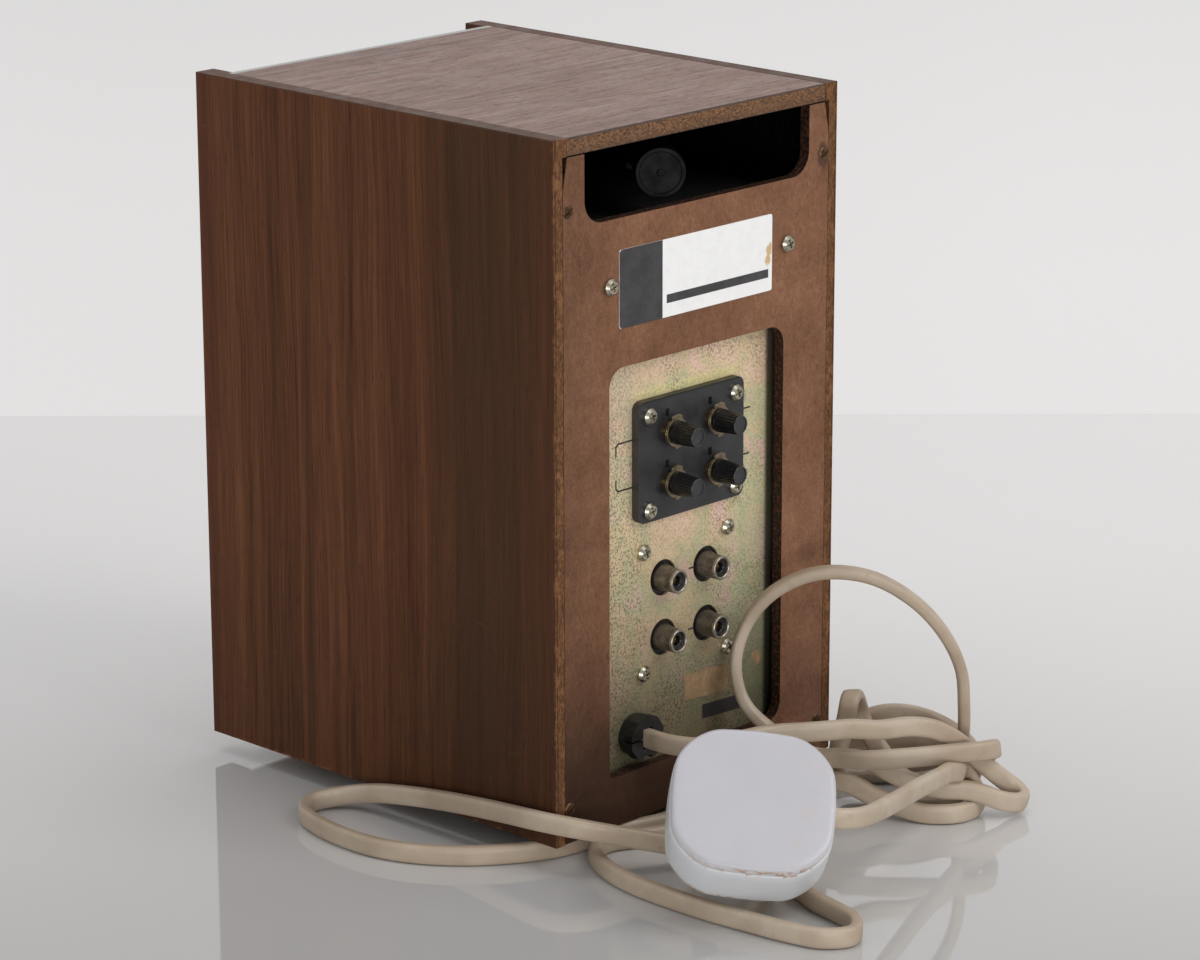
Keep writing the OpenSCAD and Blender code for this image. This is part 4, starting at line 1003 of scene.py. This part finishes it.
# dial: two rows of plain numbers with tick marks
ticks = Build()
FACE = -67.6
for i in range(41):
    x = -42 + 84 * i / 40
    tall = 3.4 if i % 8 == 0 else (2.4 if i % 4 == 0 else 1.5)
    line_strip(ticks, [(x, 207.5), (x, 207.5 + tall)], 0.28, FACE - 0.05, FACE + 0.02)
line_strip(ticks, [(-43, 207.5), (43, 207.5)], 0.25, FACE - 0.05, FACE + 0.02)
line_strip(ticks, [(-43, 201.5), (43, 201.5)], 0.25, FACE - 0.05, FACE + 0.02)
for i in range(31):
    x = -42 + 84 * i / 30
    tall = 3.0 if i % 5 == 0 else 1.4
    line_strip(ticks, [(x, 201.5), (x, 201.5 - tall)], 0.28, FACE - 0.05, FACE + 0.02)
piece("dial_ticks", ticks.mesh("dial_ticks"), dial_white, "cabinet")


def number(text, x, z, size):
    cu = bpy.data.curves.new("number", "FONT")
    cu.body = text
    cu.size = size * MM
    cu.align_x = "CENTER"
    cu.align_y = "CENTER"
    cu.extrude = 0.03 * MM
    tmp = bpy.data.objects.new("number", cu)
    scene.collection.objects.link(tmp)
    tmp.matrix_world = Matrix.Translation((x * MM, (FACE - 0.03) * MM, z * MM)) @ Matrix.Rotation(math.radians(90), 4, "X")
    bpy.context.view_layer.update()
    me = bpy.data.meshes.new_from_object(tmp.evaluated_get(bpy.context.evaluated_depsgraph_get()))
    me.transform(tmp.matrix_world)
    bpy.data.objects.remove(tmp)
    return me


bm = bmesh.new()
for k, text in enumerate(("88", "92", "96", "100", "104", "108")):
    bm.from_mesh(number(text, -42 + 84 * k / 5, 214.2, 5.0))
for k, text in enumerate(("53", "60", "70", "85", "100", "130", "160")):
    bm.from_mesh(number(text, -42 + 84 * k / 6, 195.2, 4.4))
num = bpy.data.meshes.new("dial_numbers")
bm.to_mesh(num)
bm.free()
num.materials.clear()
piece("dial_numbers", num, dial_white, "cabinet")

dress(red, "dial_pointer")
dress(steel, "tuning_spindle")
dress(cream, "dial_drum", "pulley_left", "pulley_right")
dress(alu_plain, "capacitor_rotor", "capacitor_frame", "if_cans")
dress(thread, "dial_cord")
dress(grey, "selector_switch", "power_switch")
dress(resin, "main_board")
dress(iron, "transformer")

# ---------- stage and light ----------


def plane(name, corners, mat):
    me = mesh_of(name, corners, [(0, 1, 2, 3)])
    me.materials.append(mat)
    o = bpy.data.objects.new(name, me)
    scene.collection.objects.link(o)
    return o


def stage():
    m = Mat("sheet_gloss", rough=0.045, IOR=1.62, Specular_IOR_Level=0.75)
    # painted shade: the sheet grows darker towards the front, the side nearest the camera
    reach = m.op("ADD", m.op("MULTIPLY", m.x, HEAD.x), m.op("MULTIPLY", m.y, HEAD.y))
    reach = m.op("ADD", reach, m.op("MULTIPLY", m.op("SUBTRACT", m.noise(None, 5, 2), 0.5), 0.03))
    sheet = m.use(m.mix(m.span(reach, -0.3, 0.42), (232, 231, 231), (166, 165, 164)))
    m = Mat("backdrop", color=(120, 119, 119), rough=0.9, Emission_Color=(1.0, 0.99, 0.985, 1), Emission_Strength=0.62)
    n = m.noise(None, 2, 2)
    wall = m.use(m.ramp(n, (0.3, (118, 117, 117)), (0.7, (124, 123, 123))))
    m.put(m.b.inputs["Emission Strength"], m.span(m.z, 0.05, 0.42, 0.62, 0.5))
    # the backdrop is one-sided, so that the front of the cabinet can be looked at from behind it
    nt = wall.node_tree
    out = next(n for n in nt.nodes if n.type == "OUTPUT_MATERIAL")
    one = nt.nodes.new("ShaderNodeMixShader")
    nt.links.new(nt.nodes.new("ShaderNodeNewGeometry").outputs["Backfacing"], one.inputs[0])
    nt.links.new(m.b.outputs[0], one.inputs[1])
    nt.links.new(nt.nodes.new("ShaderNodeBsdfTransparent").outputs[0], one.inputs[2])
    nt.links.new(one.outputs[0], out.inputs["Surface"])
    far = Vector((-0.3497, -0.2951, 0))
    side = Vector((VIEW_RIGHT.x, VIEW_RIGHT.y, 0)).normalized()
    near_edge = far + HEAD * 2.6
    plane("floor_sheet", [tuple(far - side * 2.4), tuple(far + side * 2.4), tuple(near_edge + side * 2.4), tuple(near_edge - side * 2.4)], sheet)
    lift = Vector((0, 0, 1.9))
    plane("backdrop", [tuple(far - side * 2.4), tuple(far + side * 2.4), tuple(far + side * 2.4 + lift), tuple(far - side * 2.4 + lift)], wall)


def area(name, at, aim, size, power, color=(1, 1, 1)):
    d = bpy.data.lights.new(name, "AREA")
    d.shape = "RECTANGLE"
    d.size, d.size_y = size
    d.energy = power
    d.color = color
    o = bpy.data.objects.new(name, d)
    scene.collection.objects.link(o)
    o.visible_camera = False
    o.location = at
    o.rotation_mode = "QUATERNION"
    o.rotation_quaternion = (Vector(aim) - Vector(at)).to_track_quat("-Z", "Y")


stage()
world = bpy.data.worlds.new("studio")
scene.world = world
world.use_nodes = True
bg = world.node_tree.nodes["Background"]
bg.inputs["Color"].default_value = (0.95, 0.95, 0.96, 1)
bg.inputs["Strength"].default_value = 0.38
mid = Vector((0, 0, 0.12))
area("key_right", mid + VIEW_RIGHT * 0.8 + HEAD * 0.5 + UP * 0.8, mid, (0.7, 0.7), 5.7, (1.0, 0.985, 0.97))
area("over", mid + UP * 1.35 - HEAD * 0.25, mid, (1.1, 1.1), 6)
area("fill_left", mid - VIEW_RIGHT * 1.4 + HEAD * 0.8 + UP * 0.6, mid, (1.2, 1.2), 2.6)
area("front_low", mid + HEAD * 1.25 + VIEW_RIGHT * 0.25 - UP * 0.05, mid + HEAD * 0.1 - UP * 0.05, (1.0, 0.35), 7.8)

# ---------- close ----------

bpy.context.view_layer.update()
